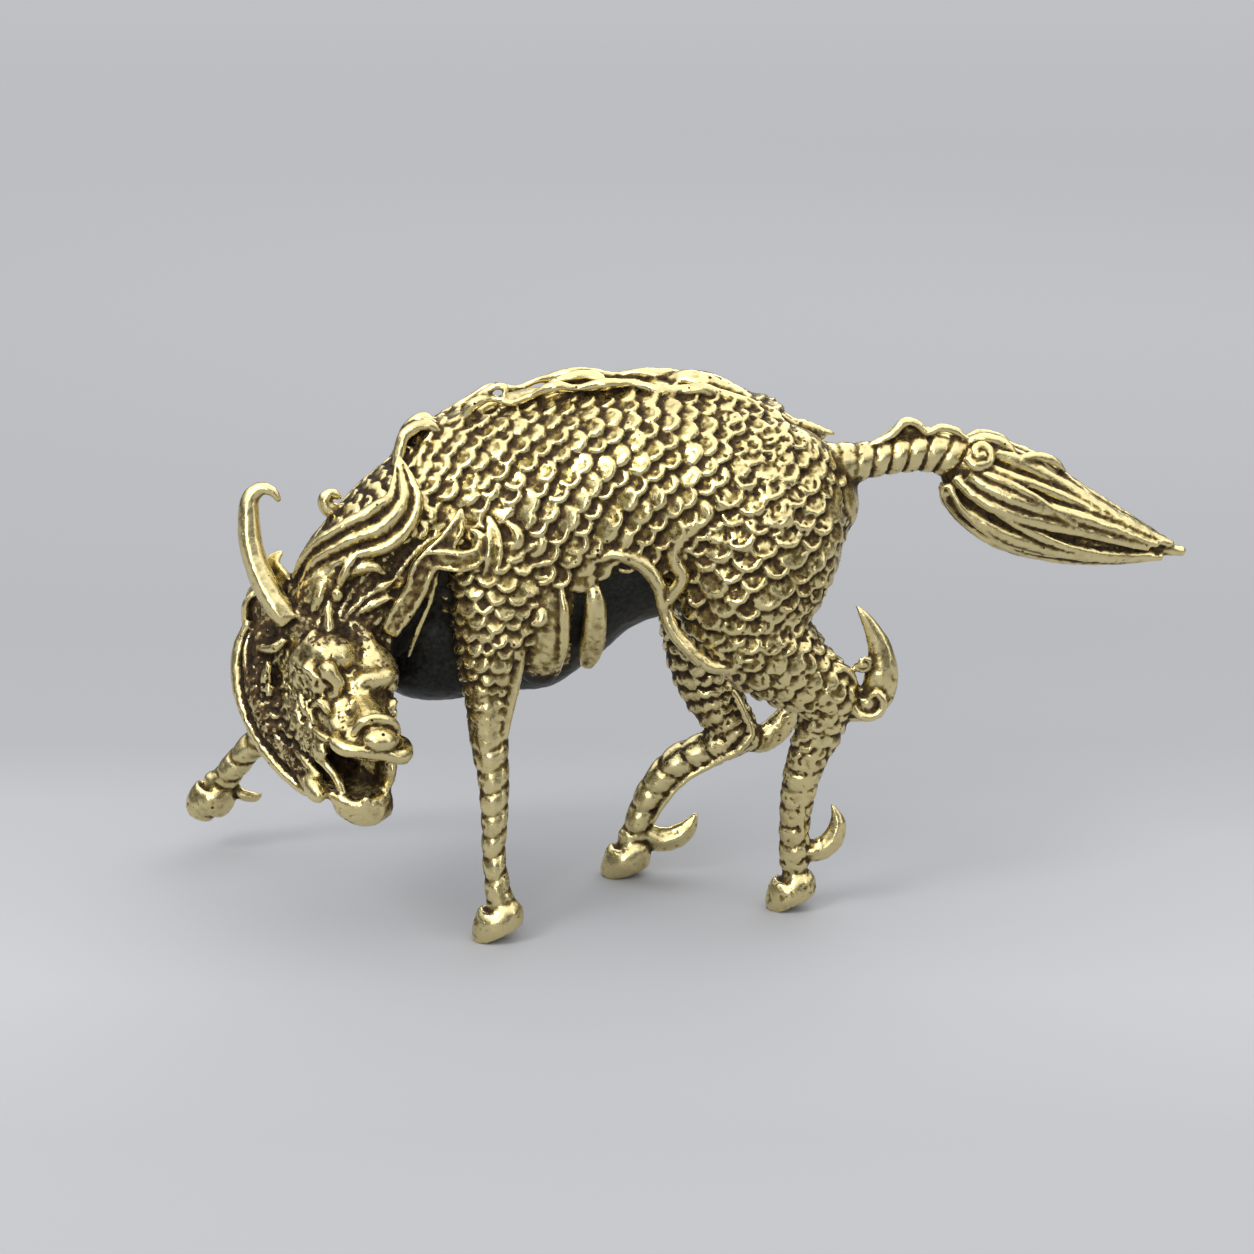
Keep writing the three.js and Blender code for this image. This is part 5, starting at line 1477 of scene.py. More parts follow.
@dataclass
class ScaleCoat:
    """Lays scales on the flesh with Geometry Nodes, each turned and sized a little by chance."""

    size: float = 0.55
    lift: float = 0.0
    reach: float = 1.1
    shift: float = 0.26
    size_spread: float = 0.18
    turn_spread: float = 0.4
    tilt: float = 0.24
    seed: int = 11

    @staticmethod
    def _places(rows: Sequence[ScaleRows]) -> bpy.types.Object:
        """Makes the loose points that the scales are set on, with their lean and width."""
        parts = [each.places() for each in rows]
        points, leans, widths, worn = (np.concatenate(column) for column in zip(*parts))
        no_faces = np.empty((0, 3), int)
        places = mesh_object("scale_places", Shell(points, np.empty((0, 4), int), no_faces))
        lean = places.data.attributes.new("lean", "FLOAT_VECTOR", "POINT")
        lean.data.foreach_set("vector", leans.astype(np.float32).ravel())
        mark(places.data, "width", widths)
        mark(places.data, "worn", worn)
        return places

    def _tree(self) -> bpy.types.NodeTree:
        """Builds the tree that lays scales on a surface."""
        plates = {f"{kind.name.lower()}_scale": "Object" for kind in PlateKind}
        tree = open_tree("scale_coat", self, places="Geometry", flesh="Object", **plates)
        given = add_node(tree, "NodeGroupInput").outputs
        skin = add_node(tree, "GeometryNodeObjectInfo", {"Object": given["Flesh"]}).outputs["Geometry"]
        lean, width, worn = (
            add_node(tree, "GeometryNodeInputNamedAttribute", {"Name": name}, data_type=kind)
            for name, kind in (("lean", "FLOAT_VECTOR"), ("width", "FLOAT"), ("worn", "FLOAT"))
        )
        # Each place strays a little, drops on the flesh, and goes where the flesh is out of reach.
        where = add_node(tree, "GeometryNodeInputPosition")
        any_way = add_node(
            tree, "FunctionNodeRandomValue",
            {0: (-1.0, -1.0, -1.0), 1: (1.0, 1.0, 1.0), "Seed": given["Seed"]}, data_type="FLOAT_VECTOR",
        )
        stray = add_node(tree, VECTOR_MATH, {0: any_way, "Scale": given["Shift"]}, operation="SCALE")
        strayed = add_node(tree, VECTOR_MATH, {0: where, 1: stray}, operation="ADD")
        near = add_node(
            tree, "GeometryNodeProximity", {0: skin, "Sample Position": strayed}, target_element="FACES"
        ).outputs
        away = add_node(
            tree, "FunctionNodeCompare", {"A": near["Distance"], "B": given["Reach"]},
            data_type="FLOAT", operation="GREATER_THAN",
        )
        kept = add_node(
            tree, "GeometryNodeDeleteGeometry", {"Geometry": given["Places"], "Selection": away},
            domain="POINT",
        )
        facing = add_node(tree, "GeometryNodeInputNormal")
        normal = add_node(
            tree, "GeometryNodeSampleNearestSurface",
            {"Mesh": skin, "Value": facing, "Sample Position": near["Position"]},
            data_type="FLOAT_VECTOR",
        ).outputs["Value"]
        raised = add_node(tree, VECTOR_MATH, {0: normal, "Scale": given["Lift"]}, operation="SCALE")
        seat = add_node(tree, VECTOR_MATH, {0: near["Position"], 1: raised}, operation="ADD")
        set_down = add_node(tree, "GeometryNodeSetPosition", {"Geometry": kept, "Position": seat})
        # It stands square to the flesh, looks along its lean, and is turned and sized by chance.
        upright = add_node(tree, "FunctionNodeAlignRotationToVector", {"Vector": normal}, axis="Z")
        leaning = add_node(
            tree, "FunctionNodeAlignRotationToVector", {"Rotation": upright, "Vector": lean},
            axis="X", pivot_axis="Z",
        )
        turn_low = add_node(tree, MATH, {0: given["Turn spread"], 1: -1.0}, operation="MULTIPLY")
        turn = add_node(
            tree, "FunctionNodeRandomValue",
            {2: turn_low, 3: given["Turn spread"], "Seed": given["Seed"]}, data_type="FLOAT",
        ).outputs[1]
        back = add_node(tree, MATH, {0: given["Tilt"], 1: -1.0}, operation="MULTIPLY")
        twist = add_node(tree, "ShaderNodeCombineXYZ", {"Y": back, "Z": turn})
        as_turn = add_node(tree, "FunctionNodeEulerToRotation", {0: twist})
        turned = add_node(
            tree, "FunctionNodeRotateRotation", {0: leaning, 1: as_turn}, rotation_space="LOCAL"
        )
        spread = given["Size spread"]
        low = add_node(tree, MATH, {0: 1.0, 1: spread}, operation="SUBTRACT")
        high = add_node(tree, MATH, {0: 1.0, 1: spread}, operation="ADD")
        chance = add_node(
            tree, "FunctionNodeRandomValue", {2: low, 3: high, "Seed": given["Seed"]}, data_type="FLOAT"
        ).outputs[1]
        wide = add_node(tree, MATH, {0: width, 1: chance}, operation="MULTIPLY")
        scale = add_node(tree, MATH, {0: wide, 1: given["Size"]}, operation="MULTIPLY")
        kinds = add_node(tree, "GeometryNodeJoinGeometry")
        for name in reversed(plates):
            plate = add_node(
                tree, "GeometryNodeObjectInfo", {"Object": given[input_name(name)], "As Instance": True}
            )
            tree.links.new(plate.outputs["Geometry"], kinds.inputs[0])
        pick = add_node(
            tree, "FunctionNodeRandomValue", {2: worn, 3: 2.7, "Seed": given["Seed"]}, data_type="FLOAT"
        ).outputs[1]
        laid = add_node(tree, "GeometryNodeInstanceOnPoints", {
            "Points": set_down, "Instance": kinds, "Pick Instance": True, "Instance Index": pick,
            "Rotation": turned, "Scale": scale,
        })
        close_tree(tree, laid, given["Finish"])
        return tree

    def laid_on(self, flesh: bpy.types.Object, rows: Sequence[ScaleRows],
                finish: bpy.types.Material) -> Shell:
        """Lays the scales on the flesh.

        Args:
            flesh: The smooth body, in shares.
            rows: Where the scales go.
            finish: Material of the scales.

        Returns:
            All scales as one shell.
        """
        places = self._places(rows)
        plates = {}
        for kind in PlateKind:
            name = f"{kind.name.lower()}_scale"
            plates[name] = mesh_object(name, ScalePlate(kind).shell())
        run_tree(places, self._tree(), self, flesh=flesh, finish=finish, **plates)
        scales = shell_of(evaluated_mesh(places))
        log.info("scales: %d corners on %d places", len(scales.points), len(places.data.vertices))
        for obj in [places, *plates.values()]:
            bpy.data.objects.remove(obj)
        return scales


@dataclass
class CastSkin:
    """The grain that the mould leaves on the metal, laid over the whole skin with Geometry Nodes."""

    lump_size: float = 1.2
    lump_rise: float = 0.26
    grain_size: float = 0.45
    grain_rise: float = 0.08
    pit_size: float = 0.75
    pit_depth: float = 0.3
    seed: float = 3.0

    def _tree(self) -> bpy.types.NodeTree:
        """Builds the tree that lifts the skin by two sizes of noise and sinks its pits."""
        tree = open_tree("cast_skin", self, skin="Geometry")
        given = add_node(tree, "NodeGroupInput").outputs
        noises = []
        for name, detail in (("Lump", 2.0), ("Grain", 2.0), ("Pit", 1.0)):
            size = given[f"{name} size"]
            often = add_node(tree, MATH, {0: 1.0, 1: size}, operation="DIVIDE")
            noises.append(add_node(
                tree, "ShaderNodeTexNoise", {"W": given["Seed"], "Scale": often, "Detail": detail},
                noise_dimensions="4D",
            ))
        rises = []
        for name, noise in zip(("Lump", "Grain"), noises):
            centred = add_node(tree, MATH, {0: noise, 1: 0.5}, operation="SUBTRACT")
            rises.append(add_node(
                tree, MATH, {0: centred, 1: given[f"{name} rise"]}, operation="MULTIPLY"
            ))
        raised = add_node(tree, MATH, {0: rises[0], 1: rises[1]}, operation="ADD")
        sunk = add_node(
            tree, MAP_RANGE, {"Value": noises[2], "From Min": 0.52, "From Max": 0.64},
            interpolation_type="SMOOTHSTEP",
        )
        pocked = add_node(
            tree, "GeometryNodeInputNamedAttribute", {"Name": "pocked"}, data_type="FLOAT"
        )
        for share in (pocked, given["Pit depth"]):
            sunk = add_node(tree, MATH, {0: sunk, 1: share}, operation="MULTIPLY")
        moved = add_node(tree, MATH, {0: raised, 1: sunk}, operation="SUBTRACT")
        normal = add_node(tree, "GeometryNodeInputNormal")
        offset = add_node(tree, VECTOR_MATH, {0: normal, "Scale": moved}, operation="SCALE")
        placed = add_node(tree, "GeometryNodeSetPosition", {"Geometry": given["Skin"], "Offset": offset})
        close_tree(tree, placed, given["Finish"])
        return tree

    def laid_over(self, skin: bpy.types.Object, finish: bpy.types.Material) -> None:
        """Roughens the skin and gives it its metal."""
        run_tree(skin, self._tree(), self, finish=finish)
        settle(skin)


def linear(code: str) -> tuple[float, float, float, float]:
    """Turns an sRGB hex colour to the linear colour that a shader takes."""
    parts = [int(code[place : place + 2], 16) / 255 for place in (0, 2, 4)]
    light = [part / 12.92 if part <= 0.04045 else ((part + 0.055) / 1.055) ** 2.4 for part in parts]
    return (*light, 1.0)


@dataclass(frozen=True)
class CastBrass:
    """Yellow brass cast in sand, darkened with a brown-black patina and rubbed bright by hand.

    The eye sees pale yellow metal on every raised edge, an olive shade where it turns away, a
    matt brown-black in the hollows, and small dark pits all over from gas in the pour. Painted
    shade is laid into the colour as well: darker in sheltered places, on down-facing surfaces and
    under the belly, and a painted dark reflection on the sides of the shanks.
    """

    bright: str = "dccd97"
    olive: str = "85753f"
    tan: str = "82622f"
    patina: str = "120b05"
    dust: str = "6a5230"
    # Near-black of the smooth belly, and its lighter scuffs: patina and painted shade under the body.
    belly: str = "121311"
    scuff: str = "2b2c27"
    bright_roughness: float = 0.18
    dull_roughness: float = 0.55
    patina_shine: float = 0.2
    pit_spacing_mm: float = 0.9
    grain_mm: float = 0.19
    speck_mm: float = 0.7
    blotch_mm: float = 1.3
    cloud_mm: float = 4.0
    bump_depth_mm: float = 0.03

    def material(self) -> bpy.types.Material:
        """Builds the material from the skin's own attributes and noise on object coordinates."""
        made = bpy.data.materials.new("cast_brass")
        made.use_nodes = True
        tree = made.node_tree
        tree.nodes.clear()
        where = add_node(tree, "ShaderNodeTexCoord").outputs["Object"]
        # The hollow mark holds patina plus painted shade beneath and on the shank sides, the mark of
        # sheltered places is painted shade, and the belly mark is patina and painted shade.
        hollow, shelter, bare, sooty, mottled = (
            add_node(tree, "ShaderNodeAttribute", attribute_name=name).outputs["Fac"]
            for name in ("hollow", "shelter", "bare", "sooty", "mottled")
        )
        grain, clouds, blotches, specks = (
            add_node(tree, "ShaderNodeTexNoise", {
                "Vector": where, "Scale": MM_PER_METRE / size, "Detail": detail, "Roughness": rough,
            })
            for size, detail, rough in (
                (2 * self.grain_mm, 3.0, 0.6), (self.cloud_mm, 4.0, 0.5),
                (self.blotch_mm, 3.0, 0.5), (self.speck_mm, 4.0, 0.65),
            )
        )
        pits = add_node(
            tree, "ShaderNodeTexVoronoi", {"Vector": where, "Scale": MM_PER_METRE / self.pit_spacing_mm}
        ).outputs
        pit_size = add_node(tree, "ShaderNodeSeparateColor", {0: pits["Color"]})
        pit_reach = add_node(
            tree, MAP_RANGE,
            {"Value": pit_size, "From Min": 0.55, "From Max": 1.0, "To Min": 0.0, "To Max": 0.22},
        )
        pit = add_node(tree, MATH, {0: pit_reach, 1: pits["Distance"]}, operation="SUBTRACT")
        pit = add_node(tree, MAP_RANGE, {"Value": pit, "From Min": 0.0, "From Max": 0.05})
        # Patina gathers where the skin is hollow, in an edge broken up by the grain, and painted shade
        # darkens the sheltered places and the belly on top of it.
        frayed = add_node(tree, MATH, {0: grain, 1: 1.2, 2: -0.6}, operation="MULTIPLY_ADD")
        fray_gain = add_node(tree, MATH, {0: mottled, 1: 1.1, 2: 0.8}, operation="MULTIPLY_ADD")
        centred = add_node(tree, MATH, {0: specks, 1: 0.5}, operation="SUBTRACT")
        under = add_node(tree, MATH, {0: centred, 1: fray_gain, 2: frayed}, operation="MULTIPLY_ADD")
        under = add_node(tree, MATH, {0: hollow, 1: under}, operation="ADD")
        # Bare flesh and blotches darken for patina, the belly for patina and painted shade, sheltered
        # places for painted shade.
        for cause, weight in ((bare, 0.4), (mottled, 0.14), (sooty, 1.0), (shelter, 0.6)):
            under = add_node(tree, MATH, {0: cause, 1: weight, 2: under}, operation="MULTIPLY_ADD")
        dark = add_node(
            tree, MAP_RANGE, {"Value": under, "From Min": 0.48, "From Max": 0.82},
            interpolation_type="SMOOTHSTEP",
        )
        dark = add_node(tree, MATH, {0: dark, 1: pit}, operation="MAXIMUM")
        # A hand rubs the proud edges pale, and leaves an olive film where the metal lies level; the
        # painted shade in the hollow mark turns undersides and shank sides olive too.
        filmed = add_node(tree, MATH, {0: clouds, 1: 0.5, 2: hollow}, operation="MULTIPLY_ADD")
        worn = add_node(
            tree, MAP_RANGE, {"Value": filmed, "From Min": 0.42, "From Max": 0.84},
            interpolation_type="SMOOTHSTEP",
        )
        tint = add_node(tree, MAP_RANGE, {"Value": blotches, "From Min": 0.55, "From Max": 0.75})
        tint = add_node(tree, MATH, {0: tint, 1: 0.35}, operation="MULTIPLY")
        speckled = add_node(tree, MAP_RANGE, {"Value": grain, "From Min": 0.36, "From Max": 0.66})
        deep = add_node(
            tree, MAP_RANGE,
            {"Value": under, "From Min": 0.8, "From Max": 1.25, "To Min": 1.0, "To Max": 0.25},
        )
        dusty = add_node(tree, MATH, {0: speckled, 1: deep}, operation="MULTIPLY")
        # Colours of the rubbed metal, of the dark used for patina and painted shade alike, and of the
        # belly.
        metal, patina_and_shade_tone, under_belly = (
            add_node(
                tree, "ShaderNodeMix", {"Factor": share, 6: linear(first), 7: linear(second)},
                data_type="RGBA",
            ).outputs[2]
            for share, first, second in (
                (worn, self.bright, self.olive), (dusty, self.patina, self.dust),
                (speckled, self.belly, self.scuff),
            )
        )
        metal = add_node(
            tree, "ShaderNodeMix", {"Factor": tint, 6: metal, 7: linear(self.tan)}, data_type="RGBA"
        ).outputs[2]
        # The belly takes its near-black here, as patina and painted shade.
        patina_and_shade_tone = add_node(
            tree, "ShaderNodeMix", {"Factor": sooty, 6: patina_and_shade_tone, 7: under_belly}, data_type="RGBA"
        ).outputs[2]
        colour = add_node(
            tree, "ShaderNodeMix", {"Factor": dark, 6: metal, 7: patina_and_shade_tone}, data_type="RGBA"
        ).outputs[2]
        rough = add_node(
            tree, MAP_RANGE,
            {"Value": dark, "To Min": self.bright_roughness, "To Max": self.dull_roughness},
        )
        for cause, weight in ((grain, 0.14), (sooty, -0.25)):
            rough = add_node(tree, MATH, {0: cause, 1: weight, 2: rough}, operation="MULTIPLY_ADD")
        metallic = add_node(tree, MAP_RANGE, {"Value": dark, "To Min": 1.0, "To Max": 0.3})
        relief = add_node(tree, MATH, {0: pit, 1: -0.9, 2: grain}, operation="MULTIPLY_ADD")
        bump = add_node(tree, "ShaderNodeBump", {
            "Strength": 0.8, "Distance": self.bump_depth_mm / MM_PER_METRE, "Height": relief,
        })
        shader = add_node(tree, "ShaderNodeBsdfPrincipled", {
            "Base Color": colour, "Roughness": rough, "Metallic": metallic, "Normal": bump,
            "Specular IOR Level": self.patina_shine,
        })
        add_node(tree, "ShaderNodeOutputMaterial", {"Surface": shader})
        return made


@dataclass(frozen=True)
class Zone:
    """Box in shares around a part of the figure, open on the sides that aren't given."""

    x: tuple[float, float] = (-OPEN, OPEN)
    y: tuple[float, float] = (-OPEN, OPEN)
    z: tuple[float, float] = (-OPEN, OPEN)

    def holds(self, points: np.ndarray) -> np.ndarray:
        """Tells which points lie inside the box."""
        low, high = np.array([self.x, self.y, self.z]).T
        return ((points > low) & (points < high)).all(axis=1)


@dataclass
class Casting:
    """The whole figure as one skin, from its flesh to its patina.

    The zones say where the metal was fingered, pitted or darkened under the belly with patina and
    painted shade, and the shares how much.
    """

    finish: bpy.types.Material
    fine_rounds: int = 7
    broad_rounds: int = 45
    level_rounds: int = 60
    level_share: float = 0.8
    # Grain and rays of the occlusion measure that becomes painted shade in the material.
    shelter_voxel: float = 0.9
    shelter_rays: int = 40
    proud_bright: float = 0.34
    seen_from: Station = (0.0, -0.966, 0.259)
    seen_edge: float = -0.12
    far_share: float = 0.14
    head_zone: Zone = Zone(x=(-OPEN, -26.5), y=(-OPEN, -6.0))
    cheek_zone: Zone = Zone(x=(3.2, OPEN), y=(-6.0, 3.5), z=(-8.0, 0.5))
    horn_zone: Zone = Zone(x=(-OPEN, -36.6), y=(-OPEN, -7.7), z=(31.0, OPEN))
    face_zone: Zone = Zone(x=(-OPEN, -26.5), y=(-OPEN, -9.0))
    mottled_zone: Zone = Zone(x=(-OPEN, -27.0), y=(-OPEN, -9.0))
    leaf_zone: Zone = Zone(x=(-OPEN, -26.0), y=(-OPEN, -6.0), z=(34.0, OPEN))
    belly_zone: Zone = Zone(x=(-30.0, 4.5), y=(-9.6, OPEN), z=(20.5, OPEN))
    not_belly: tuple[Zone, ...] = (
        Zone(x=(-4.0, OPEN), z=(-OPEN, 28.5)),
        Zone(x=(-OPEN, -20.0), z=(37.0, OPEN)),
        Zone(x=(-OPEN, -23.0), y=(2.0, OPEN)),
    )
    cheek_pits: float = 0.6
    head_pits: float = 0.12
    leg_pits: float = 0.08
    haunch_pits: float = 0.25
    # How much dark film: a base, more as painted shade on down-facing corners (partly patina that no
    # hand rubs off) and as a painted dark reflection on the shank sides, less where worn and on the
    # face.
    film: float = 0.4
    film_beneath: float = 0.2
    film_turned: float = 1.2
    film_worn: float = 0.17
    film_face: float = 0.07
    shelter_reach: float = 22.0
    leg_top: float = 27.0
    leg_fade: float = 4.0
    jowl_reach: float = 3.2
    trunk: Trunk = field(default_factory=Trunk)
    legs: Legs = field(default_factory=Legs)
    tail: Tail = field(default_factory=Tail)
    head: Head = field(default_factory=lambda: Head(HeadFrame()))
    mane: Mane = field(default_factory=Mane)
    flesh_tree: BVHTree | None = field(default=None, init=False)

    def _flesh(self) -> bpy.types.Object:
        """Smooth body with its limbs and head grown together."""
        grown = (self.trunk, self.legs, self.tail, self.head, self.mane)
        shells = [shell for part in grown for shell in part.flesh()]
        flesh = poured("flesh", shells, FLESH_VOXEL)
        move_to(flesh.data, relaxed(points_of(flesh.data), edges_of(flesh.data), 5))
        return flesh

    def _skin(self) -> bpy.types.Object:
        """One skin over flesh, scales and carving, with the grain of the mould."""
        flesh = self._flesh()
        log.info("flesh: %d corners", len(flesh.data.vertices))
        rows = self.trunk.scales() + self.legs.scales() + self.head.scales()
        scales = ScaleCoat().laid_on(flesh, rows, self.finish)
        carved = (
            self.trunk, self.legs, Hooves(), Hooks(), Ridge(), self.tail, self.head, Horn(), self.mane,
            Flanks(),
        )
        carving = [shell for part in carved for shell in part.carving()]
        body = shell_of(flesh.data)
        self.flesh_tree = BVHTree.FromPolygons(body.points.tolist(), body.quads.tolist())
        bpy.data.objects.remove(flesh)
        skin = self._largest(poured("qilin_casting", [body, scales, *carving], SKIN_VOXEL))
        log.info("skin: %d corners", len(skin.data.vertices))
        points = relaxed(points_of(skin.data), edges_of(skin.data), 1, 0.4)
        move_to(skin.data, points)
        mark(skin.data, "pocked", self._pocked(points))
        CastSkin().laid_over(skin, self.finish)
        return skin

    def _pocked(self, points: np.ndarray) -> np.ndarray:
        """Tells how deep the mould has pitted the skin, most on the cheeks and the legs."""
        side, ahead, above = self.head.turned.seen(points)
        head = self.head_zone.holds(points) & (ahead > -9.0)
        cheek = head & self.cheek_zone.holds(np.column_stack([np.abs(side), ahead, above]))
        below = np.clip((28.0 - points[:, 2]) / 3.0, 0.0, 1.0)
        haunch = np.clip(points[:, 0] / 4.0, 0.0, 1.0) * (points[:, 0] < 14.0)
        deep = np.maximum(below * self.leg_pits, haunch * self.haunch_pits)
        return np.where(cheek, self.cheek_pits, np.where(head, self.head_pits, deep))

    @staticmethod
    def _largest(skin: bpy.types.Object) -> bpy.types.Object:
        """Keeps the outer skin alone, without any pocket sealed inside it."""
        edges = edges_of(skin.data)
        label = np.arange(len(skin.data.vertices))
        while True:
            low = label.copy()
            np.minimum.at(low, edges[:, 0], label[edges[:, 1]])
            np.minimum.at(low, edges[:, 1], label[edges[:, 0]])
            low = low[low]
            if (low == label).all():
                break
            label = low
        main = np.bincount(label).argmax()
        loose = int((label != main).sum())
        log.info("skin: %d corners in sealed pockets or loose bits", loose)
        if loose:
            body = shell_of(skin.data)
            kept = label[body.quads[:, 0]] == main
            number = np.full(len(label), -1)
            number[label == main] = np.arange(int((label == main).sum()))
            part = Shell(body.points[label == main], number[body.quads[kept]], body.tris)
            name = skin.name
            bpy.data.objects.remove(skin)
            skin = mesh_object(name, part)
        return skin

    def _leg(self, points: np.ndarray) -> np.ndarray:
        """Tells where the legs have left the body, with a soft edge."""
        return np.clip((self.leg_top - points[:, 2]) / self.leg_fade, 0.0, 1.0)

    def _hollows(self, points: np.ndarray, edges: np.ndarray, normals: np.ndarray) -> np.ndarray:
        """Measures how far each corner lies below its surroundings, and adds painted shade on
        down-facing corners and a painted dark reflection on the sides of the shanks.

        Args:
            points: Corners of the skin, in shares.
            edges: Pairs of neighbours.
            normals: Outward ways at the corners.

        Returns:
            About 0 on an edge that a hand rubs bright, and 1 in the bottom of a groove.
        """
        fine = relaxed(points, edges, self.fine_rounds)
        broad = relaxed(fine, edges, self.broad_rounds)
        near = ((points - fine) * normals).sum(1)
        wide = ((points - broad) * normals).sum(1)
        level = relaxed(wide[:, None], edges, self.level_rounds)[:, 0]
        wide -= self.level_share * level
        # Painted shade: down-facing corners get more dark film, partly for the patina that no hand rubs
        # off there.
        beneath = np.clip(-normals[:, 2] - 0.1, 0.0, 1.0)
        shank = self._leg(points) * (points[:, 0] > -30.0)
        # Painted dark reflection: the sides of the shanks that face along the body get darker.
        turned = np.clip(np.abs(normals[:, 0]) - 0.5, 0.0, 0.5)
        turned = turned * shank * np.clip(points[:, 2] / 5.0, 0.3, 1.0)
        worn = np.maximum(shank, self.horn_zone.holds(points))
        film = self.film + self.film_beneath * beneath + self.film_turned * turned
        face = self.face_zone.holds(points) & (self.head.turned.seen(points)[1] > -4.5)
        film -= self.film_worn * worn + self.film_face * face
        gain = np.where(face, 0.8, np.where(self.leaf_zone.holds(points), 1.3, 2.2))
        # The fine term darkens thin creases beyond the scale rims, partly patina and partly painted
        # shadow.
        return np.clip(film - gain * wide - 8.0 * near, 0.0, 1.0)

    def _bare(self, points: np.ndarray) -> np.ndarray:
        """Tells where the smooth flesh shows between scales and locks.

        Args:
            points: Corners of the skin, in shares.

        Returns:
            1 on bare flesh, 0 on what stands proud of it, and 0 on hooves, shanks and the tail.
        """
        proud = np.array([self.flesh_tree.find_nearest(point)[3] for point in points])
        near = np.clip((self.proud_bright - proud) / self.proud_bright, 0.0, 1.0)
        neck = np.clip((-24.0 - points[:, 0]) / 3.0, 0.0, 1.0) * (points[:, 2] > 30.5)
        line = smooth_line(self.mane.jowl, 40)[:, :3]
        apart = np.linalg.norm(points[:, None] - line, axis=2).min(axis=1)
        jowl = np.clip((self.jowl_reach - apart) / 0.6, 0.0, 1.0)
        side, ahead, _ = self.head.turned.seen(points)
        temple = np.clip(-4.4 - ahead, 0.0, 1.0) * (np.abs(side) > 3.6) * (points[:, 0] < -26.0)
        sunk = np.clip((2 * self.proud_bright - proud) / self.proud_bright, 0.0, 1.0)
        smooth = near * np.maximum(neck, self._belly(points))
        return np.maximum(smooth, sunk * np.maximum(1.3 * jowl, temple))

    def _belly(self, points: np.ndarray) -> np.ndarray:
        """Tells where the trunk is below its scales, with a soft edge."""
        edges = (self.trunk.scaled_above, self.trunk.far_scaled_above)
        near, far = (np.interp(points[:, 0], *np.array(edge).T) - points[:, 2] for edge in edges)
        depth = np.where(points[:, 1] > 2.0, np.minimum(near, far), near)
        left_out = np.any([zone.holds(points) for zone in self.not_belly], axis=0)
        held = self.belly_zone.holds(points) & ~left_out
        return np.clip(depth / 2.0 + 0.4, 0.0, 1.0) * held

    def _mottled(self, points: np.ndarray) -> np.ndarray:
        """Tells how blotched the patina is, most on the legs and least on the back."""
        hoof = np.clip((points[:, 2] - 2.0) / 4.0, 0.0, 1.0)
        head = self.mottled_zone.holds(points)
        return np.where(head, 0.65, self._leg(points) * 0.1 + 0.25) * hoof

    def _shelter(self, points: np.ndarray, whole: Shell) -> np.ndarray:
        """Measures how much of the open air each corner is shut off from, for the painted shade that the
        material lays there.

        Args:
            points: Corners of the finished skin, in shares.
            whole: The skin before it was thinned.

        Returns:
            0 in the open and 1 deep between head and chest.
        """
        coarse = poured("coarse", [whole], self.shelter_voxel)
        mesh = coarse.data
        corners = relaxed(points_of(mesh), edges_of(mesh), 2)
        normals = np.array([tuple(vertex.normal) for vertex in mesh.vertices])
        tree = BVHTree.FromPolygons(corners.tolist(), [tuple(face.vertices) for face in mesh.polygons])
        spin = math.pi * (3 - math.sqrt(5))
        step = np.arange(self.shelter_rays) + 0.5
        level = 1 - 2 * step / self.shelter_rays
        flat = np.sqrt(1 - level**2)
        rays = np.column_stack([np.cos(spin * step) * flat, np.sin(spin * step) * flat, level])
        values = []
        for corner, normal in zip(corners, normals):
            facing = rays[(rays @ normal) > 0.1]
            start = Vector(corner + normal * 0.6)
            hits = [tree.ray_cast(start, Vector(ray), self.shelter_reach)[0] for ray in facing]
            values.append(sum(hit is not None for hit in hits) / max(1, len(facing)))
        bpy.data.objects.remove(coarse)
        return np.array(values)[nearest(corners, points)]

    def _thinned(self, skin: bpy.types.Object, normals: np.ndarray) -> None:
        """Brings the skin under its limit of triangles, most of all where the camera can't see.

        Args:
            skin: The whole skin.
            normals: Outward ways at its corners.
        """
        away = np.flatnonzero(normals @ np.array(self.seen_from) < self.seen_edge)
        hidden = skin.vertex_groups.new(name="away")
        hidden.add(away.tolist(), 1.0, "REPLACE")
        coarser = skin.modifiers.new("Thin out the far side", "DECIMATE")
        coarser.vertex_group, coarser.vertex_group_factor = hidden.name, 1.0
        coarser.ratio = 1.0 - len(away) / len(normals) * (1.0 - self.far_share)
        settle(skin)
        skin.vertex_groups.clear()
        rest = sum(len(face.vertices) - 2 for face in skin.data.polygons)
        log.info("casting: %d triangles after the far side", rest)
        thin = skin.modifiers.new("Thin out", "DECIMATE")
        thin.ratio = MOST_TRIANGLES / rest
        settle(skin)

    def build(self) -> bpy.types.Object:
        """Makes the finished piece in the frame, in metres.

        Returns:
            The casting, placed and dressed.
        """
        skin = self._skin()
        points = points_of(skin.data)
        normals = np.empty(len(points) * 3, np.float32)
        skin.data.vertices.foreach_get("normal", normals)
        normals = normals.reshape(-1, 3)
        hollow = self._hollows(points, edges_of(skin.data), normals)
        points[:, 2] = np.maximum(points[:, 2], DRAWN_LOW[2])
        move_to(skin.data, points)
        whole = shell_of(skin.data)
        if 2 * len(skin.data.polygons) > MOST_TRIANGLES:
            self._thinned(skin, normals)
        mesh = skin.data
        thinned = points_of(mesh)
        log.info("casting: %d faces", len(mesh.polygons))
        bare = self._bare(thinned)
